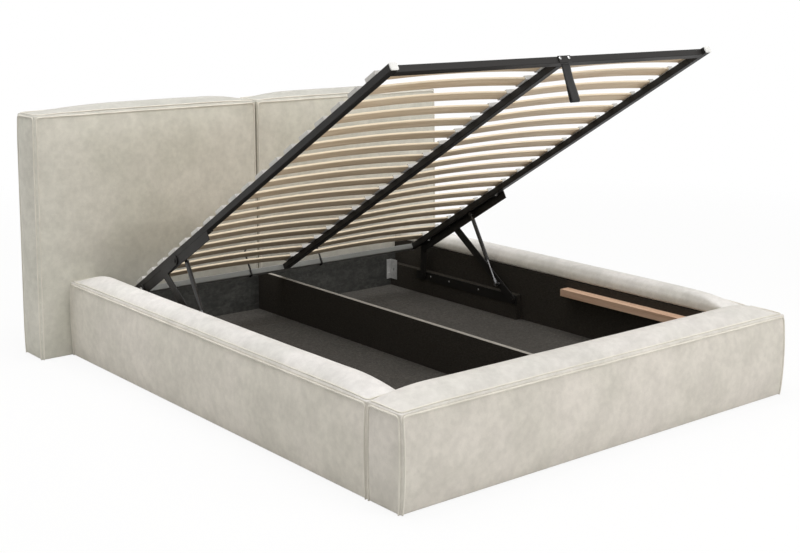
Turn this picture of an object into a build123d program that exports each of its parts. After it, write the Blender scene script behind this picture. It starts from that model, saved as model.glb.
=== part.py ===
from build123d import *

import os
from math import atan2, cos, degrees, hypot, radians, sin

os.makedirs("parts", exist_ok=True)

# Upholstered storage bed with a lifting slatted frame, shown open.
# Millimetres. X runs across the bed, Y from the foot (minus) to the headboard (plus), Z is up.
# The origin is on the floor under the middle of the bed.

# Opening for the mattress and the upholstered blocks round it
opening_width = 1604
opening_length = 2040
side_rail_thickness = 133
foot_rail_thickness = 160
rail_seam_height = 315
rail_inner_lift = 27
rail_crown = 30
rail_top_bulge = 12
rail_crown_run = 120
rail_inner_radius = 20
rail_face_reach = 12
rail_bottom_draw = 12
rail_end_reach = 14
lip_bottom_height = 288
headboard_overhang = 133
headboard_seam_height = 1020
headboard_thickness = 165
headboard_crown = 28
headboard_crown_run = 160
headboard_front_reach = 12
headboard_back_reach = 8
headboard_end_reach = 9
headboard_flat_height = 350
headboard_gap = 8
reach_margin = 1.5
glide_height = 5
glide_radius = 22
inner_glide_share = 0.25
soft_clearance = 0.3
overrun = 10

# Boards of the storage box
side_board_thickness = 16
foot_board_thickness = 16
foot_board_proud = 3.7
head_board_thickness = 10
head_board_top_height = 215
floor_panel_thickness = 9
floor_top_height = 57
batten_width = 70
batten_count = 6
divider_thickness = 18
divider_height = 180
mounting_block_width = 28
mounting_block_height = 113
mounting_block_length = 900
cleat_width = 48
cleat_height = 30
cleat_length = 836

# Slatted lifting frame
frame_foot_clearance = 2.3
frame_head_clearance = 4
frame_arm_gap = 1
tube_width = 30
tube_height = 25
tube_wall = 2
tube_corner_radius = 3
cap_thickness = 4
cap_plug_length = 12
foot_tube_setback = 18
slat_rows = 18
first_slat_place = 110
last_slat_inset = 100
slat_width = 53
slat_thickness = 8
slat_bow = 12
slat_centre_gap = 16
slat_end_cover = 20
holder_width = 58
holder_base = 2
holder_roof = 3
holder_outer_wall = 4
holder_side_clearance = 0.3
holder_height_clearance = 0.6

# Tilt of the open frame, the place of its head end then, and its height when closed
open_tilt = 30.7
open_head_inset = 195.1
open_head_height = 289.2
closed_height = 281
cleat_clearance = 0.3

# Lifting mechanism, one at each side, measured from the headboard
base_pin_height = 151
long_arm_inset = 889
short_arm_inset = 268
frame_pin_drop = 35
long_elbow_inset = 330
short_elbow_inset = 67
elbow_drop = 42
arm_thickness = 5
long_arm_width = 38
short_arm_width = 40
arm_edge_radius = 1
arm_gap = 1
pin_radius = 5
pin_clearance = 0.05
pin_head_radius = 9
pin_head_height = 3
rivet_head_height = 2.5
pin_head_gap = 0.3
base_plate_thickness = 4
base_plate_height = 41
base_plate_length = 701
base_plate_inset = 215
base_plate_drop = 23
plate_screw_insets = (660, 454, 320)
screw_radius = 2.5
screw_head_radius = 5.5
screw_length = 18
screw_head_height = 1.8
angle_length = 663
angle_inset = 60
angle_drop = 36
angle_thickness = 3.5
angle_flange_thickness = 3
bolt_head_radius = 8
bolt_head_height = 5
bolt_radius = 4
bolt_inset = 38
bolt_end_inset = 85

# Gas spring at each side
spring_frame_inset = 488
spring_frame_drop = 38
spring_arm_run = 98.5
cylinder_radius = 9
cylinder_share = 0.655
cylinder_wall = 1.5
cylinder_end_wall = 10
eye_radius = 9
eye_thickness = 12
spring_inset = 18
rod_radius = 4
rod_clearance = 0.05
piston_height = 8
socket_length = 26
socket_radius = 7
stud_ball_radius = 6.5
stud_gap = 1

# Mattress retainer, pull strap and brackets
retainer_width = 380
retainer_height = 100
retainer_radius = 4
retainer_bend = 28
retainer_hook_share = 0.65
strap_plate_width = 60
strap_plate_thickness = 3
strap_plate_offset = 4
strap_screw_inset = 9
strap_screw_drop_share = 0.34
strap_width = 38
strap_thickness = 2
strap_length = 137
strap_opening = 9
strap_joined_share = 0.33
strap_hang_angle = 8.7
bracket_height = 98
bracket_head_flange = 28
bracket_side_flange = 48
bracket_thickness = 2.5
bracket_foot_height = 33
bracket_slot_length = 16
bracket_slot_width = 6
bracket_screw_share = 0.6
bracket_edge_share = 0.29
centre_screw_inset = 12

# Places worked out from the sizes above
opening_half = opening_width / 2
body_half = opening_half + side_rail_thickness
headboard_half = body_half + headboard_overhang
head_place = foot_rail_thickness + opening_length
back_place = head_place + headboard_thickness
foot_y = rail_face_reach - (rail_face_reach + back_place + headboard_back_reach) / 2
foot_board_place = foot_rail_thickness + foot_board_proud
head_board_place = head_place - head_board_thickness
board_half = opening_half + side_board_thickness
floor_bottom_height = floor_top_height - floor_panel_thickness
divider_top_height = floor_top_height + divider_height
tilt = radians(open_tilt)
closed_foot_place = foot_board_place + frame_foot_clearance
frame_length = head_board_place - frame_head_clearance - closed_foot_place
open_foot_place = head_place - open_head_inset - frame_length * cos(tilt)
open_foot_height = open_head_height + frame_length * sin(tilt)
sides = (("right", 1), ("left", -1))

# Layers of the mechanism, from the mounting block in to the tube
block_inner_half = opening_half - mounting_block_width
plate_inner_half = block_inner_half - base_plate_thickness
arm_outer_half = plate_inner_half - arm_gap
arm_inner_half = arm_outer_half - arm_thickness
frame_half = arm_inner_half - frame_arm_gap
tube_inner_half = frame_half - tube_width
angle_inner_half = frame_half - angle_thickness
spring_half = frame_half - spring_inset
eye_outer_half = spring_half + eye_thickness / 2
eye_inner_half = spring_half - eye_thickness / 2
stud_end_half = eye_outer_half + stud_gap


def along(place):
    # Y of a place that is measured from the seam at the front of the foot rail
    return foot_y + place


def turned(run, rise, angle):
    # A vector turned in the side view, anticlockwise with the foot on the left
    turn = radians(angle)
    return run * cos(turn) - rise * sin(turn), run * sin(turn) + rise * cos(turn)


def open_point(place, height):
    # Side-view point of the open frame, from its own length and height
    run, rise = turned(place, height, -open_tilt)
    return along(open_foot_place) + run, open_foot_height + rise


def closed_point(place, height):
    return along(closed_foot_place) + place, closed_height + height


def frame_pin_place(base_y, height):
    # Place on the frame that lies equally far from a base pin when open and when closed
    open_y, open_z = open_point(0, height)
    closed_y, closed_z = closed_point(0, height)
    open_run, open_rise = turned(open_y - base_y, open_z - base_pin_height, open_tilt)
    closed_run, closed_rise = closed_y - base_y, closed_z - base_pin_height
    difference = hypot(open_run, open_rise) ** 2 - hypot(closed_run, closed_rise) ** 2
    return difference / (closed_run - open_run) / 2


# Pin places of the mechanism in the side view
long_arm_foot = (along(head_place - long_arm_inset), base_pin_height)
short_arm_foot = (along(head_place - short_arm_inset), base_pin_height)
long_pin_place = frame_pin_place(long_arm_foot[0], -frame_pin_drop)
short_pin_place = frame_pin_place(short_arm_foot[0], -frame_pin_drop)
long_arm_head = open_point(long_pin_place, -frame_pin_drop)
short_arm_head = open_point(short_pin_place, -frame_pin_drop)
long_arm_elbow = open_point(frame_length - long_elbow_inset, -elbow_drop)
short_arm_elbow = open_point(frame_length - short_elbow_inset, -elbow_drop)


def slope(start, end):
    # Direction from one side-view point to another, in degrees
    return degrees(atan2(end[1] - start[1], end[0] - start[0]))


# Gas spring, from its pin on the frame to its stud on the long arm
spring_head = open_point(frame_length - spring_frame_inset, -spring_frame_drop)
spring_lift = turned(spring_arm_run, 0, slope(long_arm_foot, long_arm_elbow))
spring_foot = (long_arm_foot[0] + spring_lift[0], long_arm_foot[1] + spring_lift[1])
spring_length = hypot(spring_foot[0] - spring_head[0], spring_foot[1] - spring_head[1])
spring_angle = slope(spring_head, spring_foot)

# Working planes
frame_origin = (0, along(open_foot_place), open_foot_height)
frame_plane = Plane(origin=frame_origin, x_dir=(1, 0, 0), z_dir=(0, sin(tilt), cos(tilt)))
frame_side = Plane(origin=frame_origin, x_dir=(0, cos(tilt), -sin(tilt)), z_dir=(1, 0, 0))
frame_front = Plane(origin=frame_origin, x_dir=(1, 0, 0), z_dir=(0, -cos(tilt), sin(tilt)))


def write(piece, name):
    piece.part.label = name
    export_step(piece.part, f"parts/{name}.step")


def box(x_ends, y_ends, z_ends, mode=Mode.ADD):
    # A board between two ends along each axis
    middle = [(ends[0] + ends[1]) / 2 for ends in (x_ends, y_ends, z_ends)]
    size = [abs(ends[1] - ends[0]) for ends in (x_ends, y_ends, z_ends)]
    with Locations(tuple(middle)):
        Box(*size, mode=mode)


def frame_box(x_ends, place_ends, height_ends, mode=Mode.ADD):
    # A bar between two ends along each axis of the tilted frame
    with BuildSketch(frame_plane.offset(min(height_ends))) as foot_print:
        with Locations((sum(x_ends) / 2, sum(place_ends) / 2)):
            Rectangle(abs(x_ends[1] - x_ends[0]), abs(place_ends[1] - place_ends[0]))
    extrude(foot_print.sketch, amount=abs(height_ends[1] - height_ends[0]), mode=mode)


def side_disc(centre, radius, x_ends, mode=Mode.ADD):
    # A round pin or hole along X, given by its side-view centre
    with BuildSketch(Plane.YZ.offset(min(x_ends))) as disc:
        with Locations(centre):
            Circle(radius)
    extrude(disc.sketch, amount=abs(x_ends[1] - x_ends[0]), mode=mode)


def padded_side(start, end, bulge, run, middle):
    # One side of a padded outline: straight, one arc, or two short arcs with a straight between
    start, end, middle = Vector(*start), Vector(*end), Vector(*middle)
    direction = (end - start).normalized()
    outward = Vector(direction.Y, -direction.X)
    if outward.dot((start + end) * 0.5 - middle) < 0:
        outward = outward * -1
    if bulge == 0:
        Line(start, end)
    elif run == 0:
        ThreePointArc(start, (start + end) * 0.5 + outward * bulge, end)
    else:
        rise_end = start + direction * run + outward * bulge
        fall_start = end - direction * run + outward * bulge
        TangentArc(rise_end, start, tangent=direction * -1)
        Line(rise_end, fall_start)
        TangentArc(fall_start, end, tangent=direction)


def padded_face(plane, corners, bulges, runs, soft_corner=None, soft_radius=0):
    # Face with a padded side after each corner, and one corner rounded if it is named
    middle = tuple(sum(corner[axis] for corner in corners) / len(corners) for axis in (0, 1))
    following = corners[1:] + corners[:1]
    with BuildSketch(plane) as face:
        with BuildLine():
            for start, end, bulge, run in zip(corners, following, bulges, runs):
                padded_side(start, end, bulge, run, middle)
        make_face()
        if soft_corner:
            fillet(face.vertices().sort_by_distance(Vector(*soft_corner))[0], soft_radius)
    return face.sketch


def padded_block(front, side, plan):
    # A padded block is what its front, side and plan outlines have in common
    extrude(padded_face(Plane.XZ, *front), amount=back_place, both=True)
    extrude(padded_face(Plane.YZ, *side), amount=back_place, both=True, mode=Mode.INTERSECT)
    extrude(padded_face(Plane.XY, *plan), amount=back_place, both=True, mode=Mode.INTERSECT)


def corner_screws(radius, start, end, mode=Mode.ADD):
    # Screws of the corner brackets, from start to end behind the face that carries them
    for _, sign in sides:
        for half, place, way in bracket_corners:
            for height in bracket_screw_heights:
                side_y = along(place) - way * bracket_side_flange * bracket_screw_share
                side_disc((side_y, height), radius, (sign * (half + start), sign * (half + end)), mode)
                with BuildSketch(Plane.XZ.offset(-along(place))) as disc:
                    with Locations((sign * (half - bracket_head_flange / 2), height)):
                        Circle(radius)
                shift = min(way * start, way * end)
                extrude(disc.sketch.moved(Location((0, shift, 0))), amount=-abs(end - start), mode=mode)


# Upholstered blocks
seat_half = body_half - rail_bottom_draw
rail_end_bulge = rail_end_reach + rail_bottom_draw / 2 + reach_margin
foot_front_y, foot_back_y = along(0), along(foot_rail_thickness)
pocket_place = foot_board_place - foot_board_thickness
rail_inner_height = rail_seam_height + rail_inner_lift

with BuildPart() as foot_rail:
    padded_block(
        (
            [(-seat_half, glide_height), (seat_half, glide_height)]
            + [(body_half, rail_seam_height), (-body_half, rail_seam_height)],
            (0, rail_end_bulge, rail_crown + reach_margin, rail_end_bulge),
            (0, 0, rail_crown_run, 0),
        ),
        (
            [(foot_front_y + rail_bottom_draw, glide_height), (foot_back_y, glide_height)]
            + [(foot_back_y, rail_inner_height), (foot_front_y, rail_seam_height)],
            (0, 0, rail_top_bulge, rail_face_reach + rail_bottom_draw / 2 + reach_margin),
            (0, 0, 0, 0),
            (foot_back_y, rail_inner_height),
            rail_inner_radius,
        ),
        (
            [(-body_half, foot_front_y), (body_half, foot_front_y)]
            + [(body_half, foot_back_y), (-body_half, foot_back_y)],
            (rail_face_reach, rail_end_reach, 0, rail_end_reach),
            (rail_crown_run, 0, 0, 0),
        ),
    )
    box(
        (-opening_half, opening_half),
        (along(pocket_place), foot_back_y + overrun),
        (0, lip_bottom_height),
        Mode.SUBTRACT,
    )
write(foot_rail, "foot_rail")

for side, sign in sides:
    rail_start_y = foot_back_y + soft_clearance
    rail_end_y = along(head_place) - soft_clearance
    with BuildPart() as side_rail:
        padded_block(
            (
                [(sign * opening_half, glide_height), (sign * seat_half, glide_height)]
                + [(sign * body_half, rail_seam_height), (sign * opening_half, rail_inner_height)],
                (0, rail_end_bulge, rail_top_bulge, 0),
                (0, 0, 0, 0),
                (sign * opening_half, rail_inner_height),
                rail_inner_radius,
            ),
            (
                [(rail_start_y, glide_height), (rail_end_y, glide_height)]
                + [(rail_end_y, rail_seam_height), (rail_start_y, rail_seam_height)],
                (0, 0, rail_crown + reach_margin, 0),
                (0, 0, rail_crown_run, 0),
            ),
            (
                [(sign * opening_half, rail_start_y), (sign * body_half, rail_start_y)]
                + [(sign * body_half, rail_end_y), (sign * opening_half, rail_end_y)],
                (0, rail_end_reach, 0, 0),
                (0, rail_crown_run, 0, 0),
            ),
        )
        box(
            (sign * (opening_half - overrun), sign * board_half),
            (rail_start_y - overrun, rail_end_y + overrun),
            (0, lip_bottom_height),
            Mode.SUBTRACT,
        )
    write(side_rail, f"{side}_side_rail")

for side, sign in sides:
    front_y, back_y = along(head_place), along(back_place)
    inner_x, outer_x = sign * headboard_gap / 2, sign * headboard_half
    with BuildPart() as headboard_panel:
        padded_block(
            (
                [(inner_x, glide_height), (outer_x, glide_height)]
                + [(outer_x, headboard_seam_height), (inner_x, headboard_seam_height)],
                (0, headboard_end_reach + reach_margin, headboard_crown + reach_margin, 0),
                (0, 0, headboard_crown_run, 0),
            ),
            (
                [(front_y, glide_height), (back_y, glide_height)]
                + [(back_y, headboard_seam_height), (front_y, headboard_seam_height)]
                + [(front_y, headboard_flat_height)],
                (0, headboard_back_reach + reach_margin, headboard_crown)
                + (headboard_front_reach + reach_margin, 0),
                (0, 0, 0, 0, 0),
            ),
            (
                [(inner_x, front_y), (outer_x, front_y), (outer_x, back_y), (inner_x, back_y)],
                (headboard_front_reach, headboard_end_reach, headboard_back_reach, 0),
                (headboard_crown_run, 0, headboard_crown_run, 0),
            ),
        )
    write(headboard_panel, f"headboard_panel_{side}")

# Boards inside the storage box
inner_length = (along(foot_board_place), along(head_board_place))
block_start_place = head_board_place - mounting_block_length
block_top_height = floor_top_height + mounting_block_height
bracket_bottom_height = floor_top_height + bracket_foot_height
bracket_top_height = bracket_bottom_height + bracket_height
bracket_corners = (
    (block_inner_half, head_board_place, 1),
    (opening_half, foot_board_place, -1),
)
bracket_screw_heights = (
    bracket_bottom_height + bracket_edge_share * bracket_height,
    bracket_top_height - bracket_edge_share * bracket_height,
)
screw_depth = screw_length - base_plate_thickness
corner_screw_depth = head_board_thickness - bracket_thickness

for side, sign in sides:
    with BuildPart() as side_board:
        box(
            (sign * opening_half, sign * board_half),
            (foot_back_y, along(head_place)),
            (glide_height, lip_bottom_height),
        )
        corner_screws(screw_radius, 0, corner_screw_depth, Mode.SUBTRACT)
    write(side_board, f"{side}_side_board")

with BuildPart() as foot_board:
    box(
        (-opening_half, opening_half),
        (along(pocket_place), inner_length[0]),
        (glide_height, lip_bottom_height),
    )
    corner_screws(screw_radius, 0, corner_screw_depth, Mode.SUBTRACT)
write(foot_board, "foot_board")

with BuildPart() as head_board:
    box(
        (-opening_half, opening_half),
        (inner_length[1], along(head_place)),
        (glide_height, head_board_top_height),
    )
    corner_screws(screw_radius, 0, corner_screw_depth, Mode.SUBTRACT)
write(head_board, "head_board")

with BuildPart() as floor_battens:
    batten_reach = inner_length[1] - inner_length[0] - batten_width
    for index in range(batten_count):
        batten_y = inner_length[0] + batten_reach * index / (batten_count - 1)
        box(
            (-opening_half, opening_half),
            (batten_y, batten_y + batten_width),
            (glide_height, floor_bottom_height),
        )
write(floor_battens, "floor_battens")

for side, sign in sides:
    with BuildPart() as floor_panel:
        box((0, sign * opening_half), inner_length, (floor_bottom_height, floor_top_height))
    write(floor_panel, f"{side}_floor_panel")

with BuildPart() as centre_divider:
    box(
        (-divider_thickness / 2, divider_thickness / 2),
        inner_length,
        (floor_top_height, divider_top_height),
    )
write(centre_divider, "centre_divider")

for side, sign in sides:
    with BuildPart() as mounting_block:
        box(
            (sign * block_inner_half, sign * opening_half),
            (along(block_start_place), inner_length[1]),
            (floor_top_height, block_top_height),
        )
        for inset in plate_screw_insets:
            side_disc(
                (along(head_place - inset), base_pin_height),
                screw_radius,
                (sign * block_inner_half, sign * (block_inner_half + screw_depth)),
                Mode.SUBTRACT,
            )
        corner_screws(screw_radius, 0, corner_screw_depth, Mode.SUBTRACT)
    write(mounting_block, f"{side}_mounting_block")

cleat_top_height = closed_height - tube_height - cleat_clearance
for side, sign in sides:
    with BuildPart() as support_cleat:
        box(
            (sign * (opening_half - cleat_width), sign * opening_half),
            (inner_length[0], inner_length[0] + cleat_length),
            (cleat_top_height - cleat_height, cleat_top_height),
        )
    write(support_cleat, f"{side}_support_cleat")

with BuildPart() as floor_glides:
    rail_middle = opening_half + side_rail_thickness / 2
    side_rail_middle = (foot_rail_thickness + head_place) / 2
    headboard_middle = head_place + headboard_thickness / 2
    glide_spots = [(0, foot_rail_thickness / 2)]
    for _, sign in sides:
        glide_spots.append((sign * rail_middle, foot_rail_thickness / 2))
        glide_spots.append((sign * rail_middle, side_rail_middle))
        glide_spots.append((sign * rail_middle, headboard_middle))
        glide_spots.append((sign * headboard_half * inner_glide_share, headboard_middle))
    for spot_x, place in glide_spots:
        with BuildSketch() as glide_round:
            with Locations((spot_x, along(place))):
                Circle(glide_radius)
        extrude(glide_round.sketch, amount=glide_height)
write(floor_glides, "floor_glides")

with BuildPart() as corner_brackets:
    for _, sign in sides:
        for half, place, way in bracket_corners:
            wall_y = along(place)
            bracket_rise = (bracket_bottom_height, bracket_top_height)
            box(
                (sign * (half - bracket_thickness), sign * half),
                (wall_y, wall_y - way * bracket_side_flange),
                bracket_rise,
            )
            box(
                (sign * (half - bracket_head_flange), sign * (half - bracket_thickness)),
                (wall_y, wall_y - way * bracket_thickness),
                bracket_rise,
            )
            with BuildSketch(Plane.YZ.offset(sign * half)) as slot:
                with Locations((wall_y - way * bracket_side_flange / 2, sum(bracket_rise) / 2)):
                    SlotOverall(bracket_slot_length, bracket_slot_width, rotation=90)
            extrude(slot.sketch, amount=bracket_thickness, both=True, mode=Mode.SUBTRACT)
    corner_screws(screw_radius, -bracket_thickness, 0, Mode.SUBTRACT)
write(corner_brackets, "corner_brackets")

with BuildPart() as bracket_screws:
    corner_screws(screw_radius, -bracket_thickness, corner_screw_depth)
    corner_screws(screw_head_radius, -bracket_thickness - screw_head_height, -bracket_thickness)
write(bracket_screws, "bracket_screws")

# Base plates of the mechanism, with their screws and the pins that the arms turn on
plate_bottom_height = base_pin_height - base_plate_drop
base_plate_start = head_place - base_plate_inset - base_plate_length
plate_screw_spots = [(along(head_place - inset), base_pin_height) for inset in plate_screw_insets]
base_pins = (long_arm_foot, short_arm_foot)
for side, sign in sides:
    with BuildPart() as base_plate:
        box(
            (sign * plate_inner_half, sign * block_inner_half),
            (along(base_plate_start), along(base_plate_start + base_plate_length)),
            (plate_bottom_height, plate_bottom_height + base_plate_height),
        )
        for spot in plate_screw_spots:
            recess_end = plate_inner_half + screw_head_height
            side_disc(spot, screw_radius, (sign * plate_inner_half, sign * block_inner_half), Mode.SUBTRACT)
            side_disc(spot, screw_head_radius, (sign * plate_inner_half, sign * recess_end), Mode.SUBTRACT)
        for pin in base_pins:
            side_disc(pin, pin_radius, (sign * plate_inner_half, sign * block_inner_half), Mode.SUBTRACT)
    write(base_plate, f"{side}_base_plate")

with BuildPart() as base_plate_screws:
    for _, sign in sides:
        for spot in plate_screw_spots:
            head_end = plate_inner_half + screw_head_height
            side_disc(spot, screw_radius, (sign * head_end, sign * (block_inner_half + screw_depth)))
            side_disc(spot, screw_head_radius, (sign * plate_inner_half, sign * head_end))
write(base_plate_screws, "base_plate_screws")

pin_head_end = arm_inner_half - pin_head_gap
for side, sign in sides:
    with BuildPart() as base_pivots:
        for pin in base_pins:
            side_disc(pin, pin_radius, (sign * pin_head_end, sign * block_inner_half))
            side_disc(pin, pin_head_radius, (sign * (pin_head_end - pin_head_height), sign * pin_head_end))
    write(base_pivots, f"{side}_base_pivots")

# Arms
arm_x_ends = (arm_inner_half, arm_outer_half)
arm_sizes = (
    ("long_arm", long_arm_foot, long_arm_elbow, long_arm_head, long_arm_width),
    ("short_arm", short_arm_foot, short_arm_elbow, short_arm_head, short_arm_width),
)


def round_bar(start, end, width):
    # A round-ended bar between two side-view points
    with Locations(((start[0] + end[0]) / 2, (start[1] + end[1]) / 2)):
        length = hypot(end[0] - start[0], end[1] - start[1])
        SlotCenterToCenter(length, width, rotation=slope(start, end))


for side, sign in sides:
    for name, foot, elbow, head, width in arm_sizes:
        with BuildPart() as arm:
            with BuildSketch(Plane.YZ.offset(sign * arm_x_ends[0])) as bar:
                round_bar(foot, elbow, width)
                round_bar(elbow, head, width)
            extrude(bar.sketch, amount=sign * arm_thickness)
            fillet(arm.edges().filter_by(Axis.X, reverse=True), arm_edge_radius)
            through = (sign * (arm_inner_half - overrun), sign * (arm_outer_half + overrun))
            head_radius = pin_radius + (pin_clearance if name == "long_arm" else 0)
            side_disc(foot, pin_radius + pin_clearance, through, Mode.SUBTRACT)
            side_disc(head, head_radius, through, Mode.SUBTRACT)
            if name == "long_arm":
                side_disc(spring_foot, pin_radius, through, Mode.SUBTRACT)
        write(arm, f"{side}_{name}")

    with BuildPart() as spring_stud:
        side_disc(spring_foot, pin_radius, (sign * stud_end_half, sign * arm_outer_half))
        side_disc(spring_foot, stud_ball_radius, (sign * stud_end_half, sign * (stud_end_half + pin_radius)))
    write(spring_stud, f"{side}_spring_stud")

    with BuildPart() as short_arm_rivet:
        rivet_end = arm_outer_half + rivet_head_height
        side_disc(short_arm_head, pin_radius, (sign * (frame_half + pin_head_gap), sign * rivet_end))
        side_disc(short_arm_head, pin_head_radius, (sign * arm_outer_half, sign * rivet_end))
    write(short_arm_rivet, f"{side}_short_arm_rivet")

# Gas springs: the cylinder hangs on the frame and its rod reaches down to the long arm
spring_way = radians(spring_angle)
barrel_start = eye_radius + cylinder_end_wall
cylinder_length = cylinder_share * spring_length
bore_start, bore_end = barrel_start + cylinder_end_wall, cylinder_length - cylinder_end_wall
bore_radius = cylinder_radius - cylinder_wall
piston_start = bore_end - piston_height - rod_radius
for side, sign in sides:
    spring_plane = Plane(
        origin=(sign * spring_half, *spring_head),
        x_dir=(1, 0, 0),
        z_dir=(0, cos(spring_way), sin(spring_way)),
    )
    eye_x_ends = (sign * eye_inner_half, sign * eye_outer_half)

    with BuildPart() as gas_cylinder:
        rounds = (
            (0, barrel_start, eye_radius / 2, Mode.ADD),
            (barrel_start, cylinder_length, cylinder_radius, Mode.ADD),
            (bore_start, bore_end, bore_radius, Mode.SUBTRACT),
            (cylinder_length / 2, cylinder_length, rod_radius + rod_clearance, Mode.SUBTRACT),
        )
        for start, end, radius, mode in rounds:
            with BuildSketch(spring_plane.offset(start)) as ring:
                Circle(radius)
            extrude(ring.sketch, amount=end - start, mode=mode)
        side_disc(spring_head, eye_radius, eye_x_ends)
        side_disc(spring_head, pin_radius + pin_clearance, eye_x_ends, Mode.SUBTRACT)
    write(gas_cylinder, f"{side}_gas_cylinder")

    with BuildPart() as gas_rod:
        rounds = (
            (piston_start, spring_length - eye_radius, rod_radius),
            (piston_start, piston_start + piston_height, bore_radius - rod_clearance),
            (spring_length - socket_length, spring_length, socket_radius),
        )
        for start, end, radius in rounds:
            with BuildSketch(spring_plane.offset(start)) as ring:
                Circle(radius)
            extrude(ring.sketch, amount=end - start)
        side_disc(spring_foot, eye_radius, eye_x_ends)
    write(gas_rod, f"{side}_gas_rod")


# Slatted frame, modelled on its own tilted plane
def tube_bar(plane, place, length, wall=0, mode=Mode.ADD):
    # Bar of the tube's rounded section, or of its bore where a wall is given
    with BuildSketch(plane) as section:
        with Locations((place, -tube_height / 2)):
            RectangleRounded(tube_width - 2 * wall, tube_height - 2 * wall, tube_corner_radius - wall)
    extrude(section.sketch, amount=length, mode=mode)


def tube(plane, place, length):
    tube_bar(plane, place, length)
    tube_bar(plane, place, length, tube_wall, Mode.SUBTRACT)


def frame_disc(centre, radius, height_ends, mode=Mode.ADD):
    # A round bar or hole square to the slats
    with BuildSketch(frame_plane.offset(min(height_ends))) as disc:
        with Locations(centre):
            Circle(radius)
    extrude(disc.sketch, amount=abs(height_ends[1] - height_ends[0]), mode=mode)


tube_middle_half = frame_half - tube_width / 2
angle_end = frame_length - angle_inset
angle_start = angle_end - angle_length
bolt_places = (angle_start + bolt_inset, angle_end - bolt_end_inset)
angle_shelf_height = -tube_height - angle_flange_thickness
for side, sign in sides:
    with BuildPart() as side_tube:
        tube_end = frame_length - cap_thickness
        tube(frame_front.offset(-tube_end), sign * tube_middle_half, tube_end - cap_thickness)
        for place in bolt_places:
            spot = (sign * tube_middle_half, place)
            frame_disc(spot, bolt_radius, (-tube_height, -tube_height / 2), Mode.SUBTRACT)
    write(side_tube, f"{side}_side_tube")

foot_tube_end = foot_tube_setback + tube_width
head_tube_start = frame_length - tube_width
with BuildPart() as foot_cross_tube:
    tube(frame_side.offset(-tube_inner_half), foot_tube_end - tube_width / 2, 2 * tube_inner_half)
write(foot_cross_tube, "foot_cross_tube")

centre_screw_spot = (tube_width / 2 + centre_screw_inset, -tube_height / 2)


def front_disc(centre, radius, start, end, mode=Mode.ADD):
    # A round bar or hole along the frame, given by its place across and its height
    with BuildSketch(frame_front.offset(-end)) as disc:
        with Locations(centre):
            Circle(radius)
    extrude(disc.sketch, amount=end - start, mode=mode)


with BuildPart() as head_cross_tube:
    tube(frame_side.offset(-tube_inner_half), head_tube_start + tube_width / 2, 2 * tube_inner_half)
    screw_end = head_tube_start + tube_wall
    front_disc(centre_screw_spot, screw_radius, head_tube_start, screw_end, Mode.SUBTRACT)
write(head_cross_tube, "head_cross_tube")

with BuildPart() as centre_tube_screw:
    screw_start = head_tube_start - screw_head_height
    front_disc(centre_screw_spot, screw_head_radius, screw_start, head_tube_start)
    front_disc(centre_screw_spot, screw_radius, head_tube_start, screw_end)
write(centre_tube_screw, "centre_tube_screw")

with BuildPart() as centre_tube:
    tube(frame_front.offset(-head_tube_start), 0, head_tube_start - foot_tube_end)
write(centre_tube, "centre_tube")

with BuildPart() as tube_end_caps:
    for _, sign in sides:
        for cap_end in (cap_thickness, frame_length):
            tube_bar(frame_front.offset(-cap_end), sign * tube_middle_half, cap_thickness)
        for plug_end in (cap_thickness + cap_plug_length, frame_length - cap_thickness):
            plug_plane = frame_front.offset(-plug_end)
            tube_bar(plug_plane, sign * tube_middle_half, cap_plug_length, tube_wall)
write(tube_end_caps, "tube_end_caps")

# Bowed slats in two bays, and the holders that carry their ends
slat_outer_half = frame_half - 2 * holder_outer_wall
slat_inner_half = slat_centre_gap / 2
slat_span = slat_outer_half - slat_inner_half
slat_middle_half = (slat_outer_half + slat_inner_half) / 2
pocket_rise = slat_thickness + slat_end_cover * 4 * slat_bow / slat_span + holder_height_clearance
holder_height = holder_base + pocket_rise + holder_roof
pocket_width = slat_width + 2 * holder_side_clearance
slat_pitch = (frame_length - first_slat_place - last_slat_inset) / (slat_rows - 1)
slat_places = [first_slat_place + row * slat_pitch for row in range(slat_rows)]
for side, sign in sides:
    with BuildPart() as slats:
        for place in slat_places:
            with BuildSketch(frame_front.offset(-place)) as bow:
                with BuildLine():
                    for height in (holder_base, holder_base + slat_thickness):
                        ThreePointArc(
                            (sign * slat_inner_half, height),
                            (sign * slat_middle_half, height + slat_bow),
                            (sign * slat_outer_half, height),
                        )
                    for end_half in (slat_inner_half, slat_outer_half):
                        Line(
                            (sign * end_half, holder_base),
                            (sign * end_half, holder_base + slat_thickness),
                        )
                make_face()
            extrude(bow.sketch, amount=slat_width / 2, both=True)
    write(slats, f"{side}_slats")

pocket_heights = (holder_base, holder_base + pocket_rise)
with BuildPart() as outer_slat_holders:
    for _, sign in sides:
        outer = sign * (slat_outer_half + holder_outer_wall)
        inner = sign * (slat_outer_half - slat_end_cover)
        for place in slat_places:
            frame_box(
                (outer, inner),
                (place - holder_width / 2, place + holder_width / 2),
                (0, holder_height),
            )
            frame_box(
                (sign * slat_outer_half, inner - sign * overrun),
                (place - pocket_width / 2, place + pocket_width / 2),
                pocket_heights,
                Mode.SUBTRACT,
            )
write(outer_slat_holders, "outer_slat_holders")

with BuildPart() as centre_slat_holders:
    for place in slat_places:
        holder_half = slat_inner_half + slat_end_cover
        frame_box(
            (-holder_half, holder_half),
            (place - holder_width / 2, place + holder_width / 2),
            (0, holder_height),
        )
        for _, sign in sides:
            frame_box(
                (sign * slat_inner_half, sign * (holder_half + overrun)),
                (place - pocket_width / 2, place + pocket_width / 2),
                pocket_heights,
                Mode.SUBTRACT,
            )
write(centre_slat_holders, "centre_slat_holders")

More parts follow.
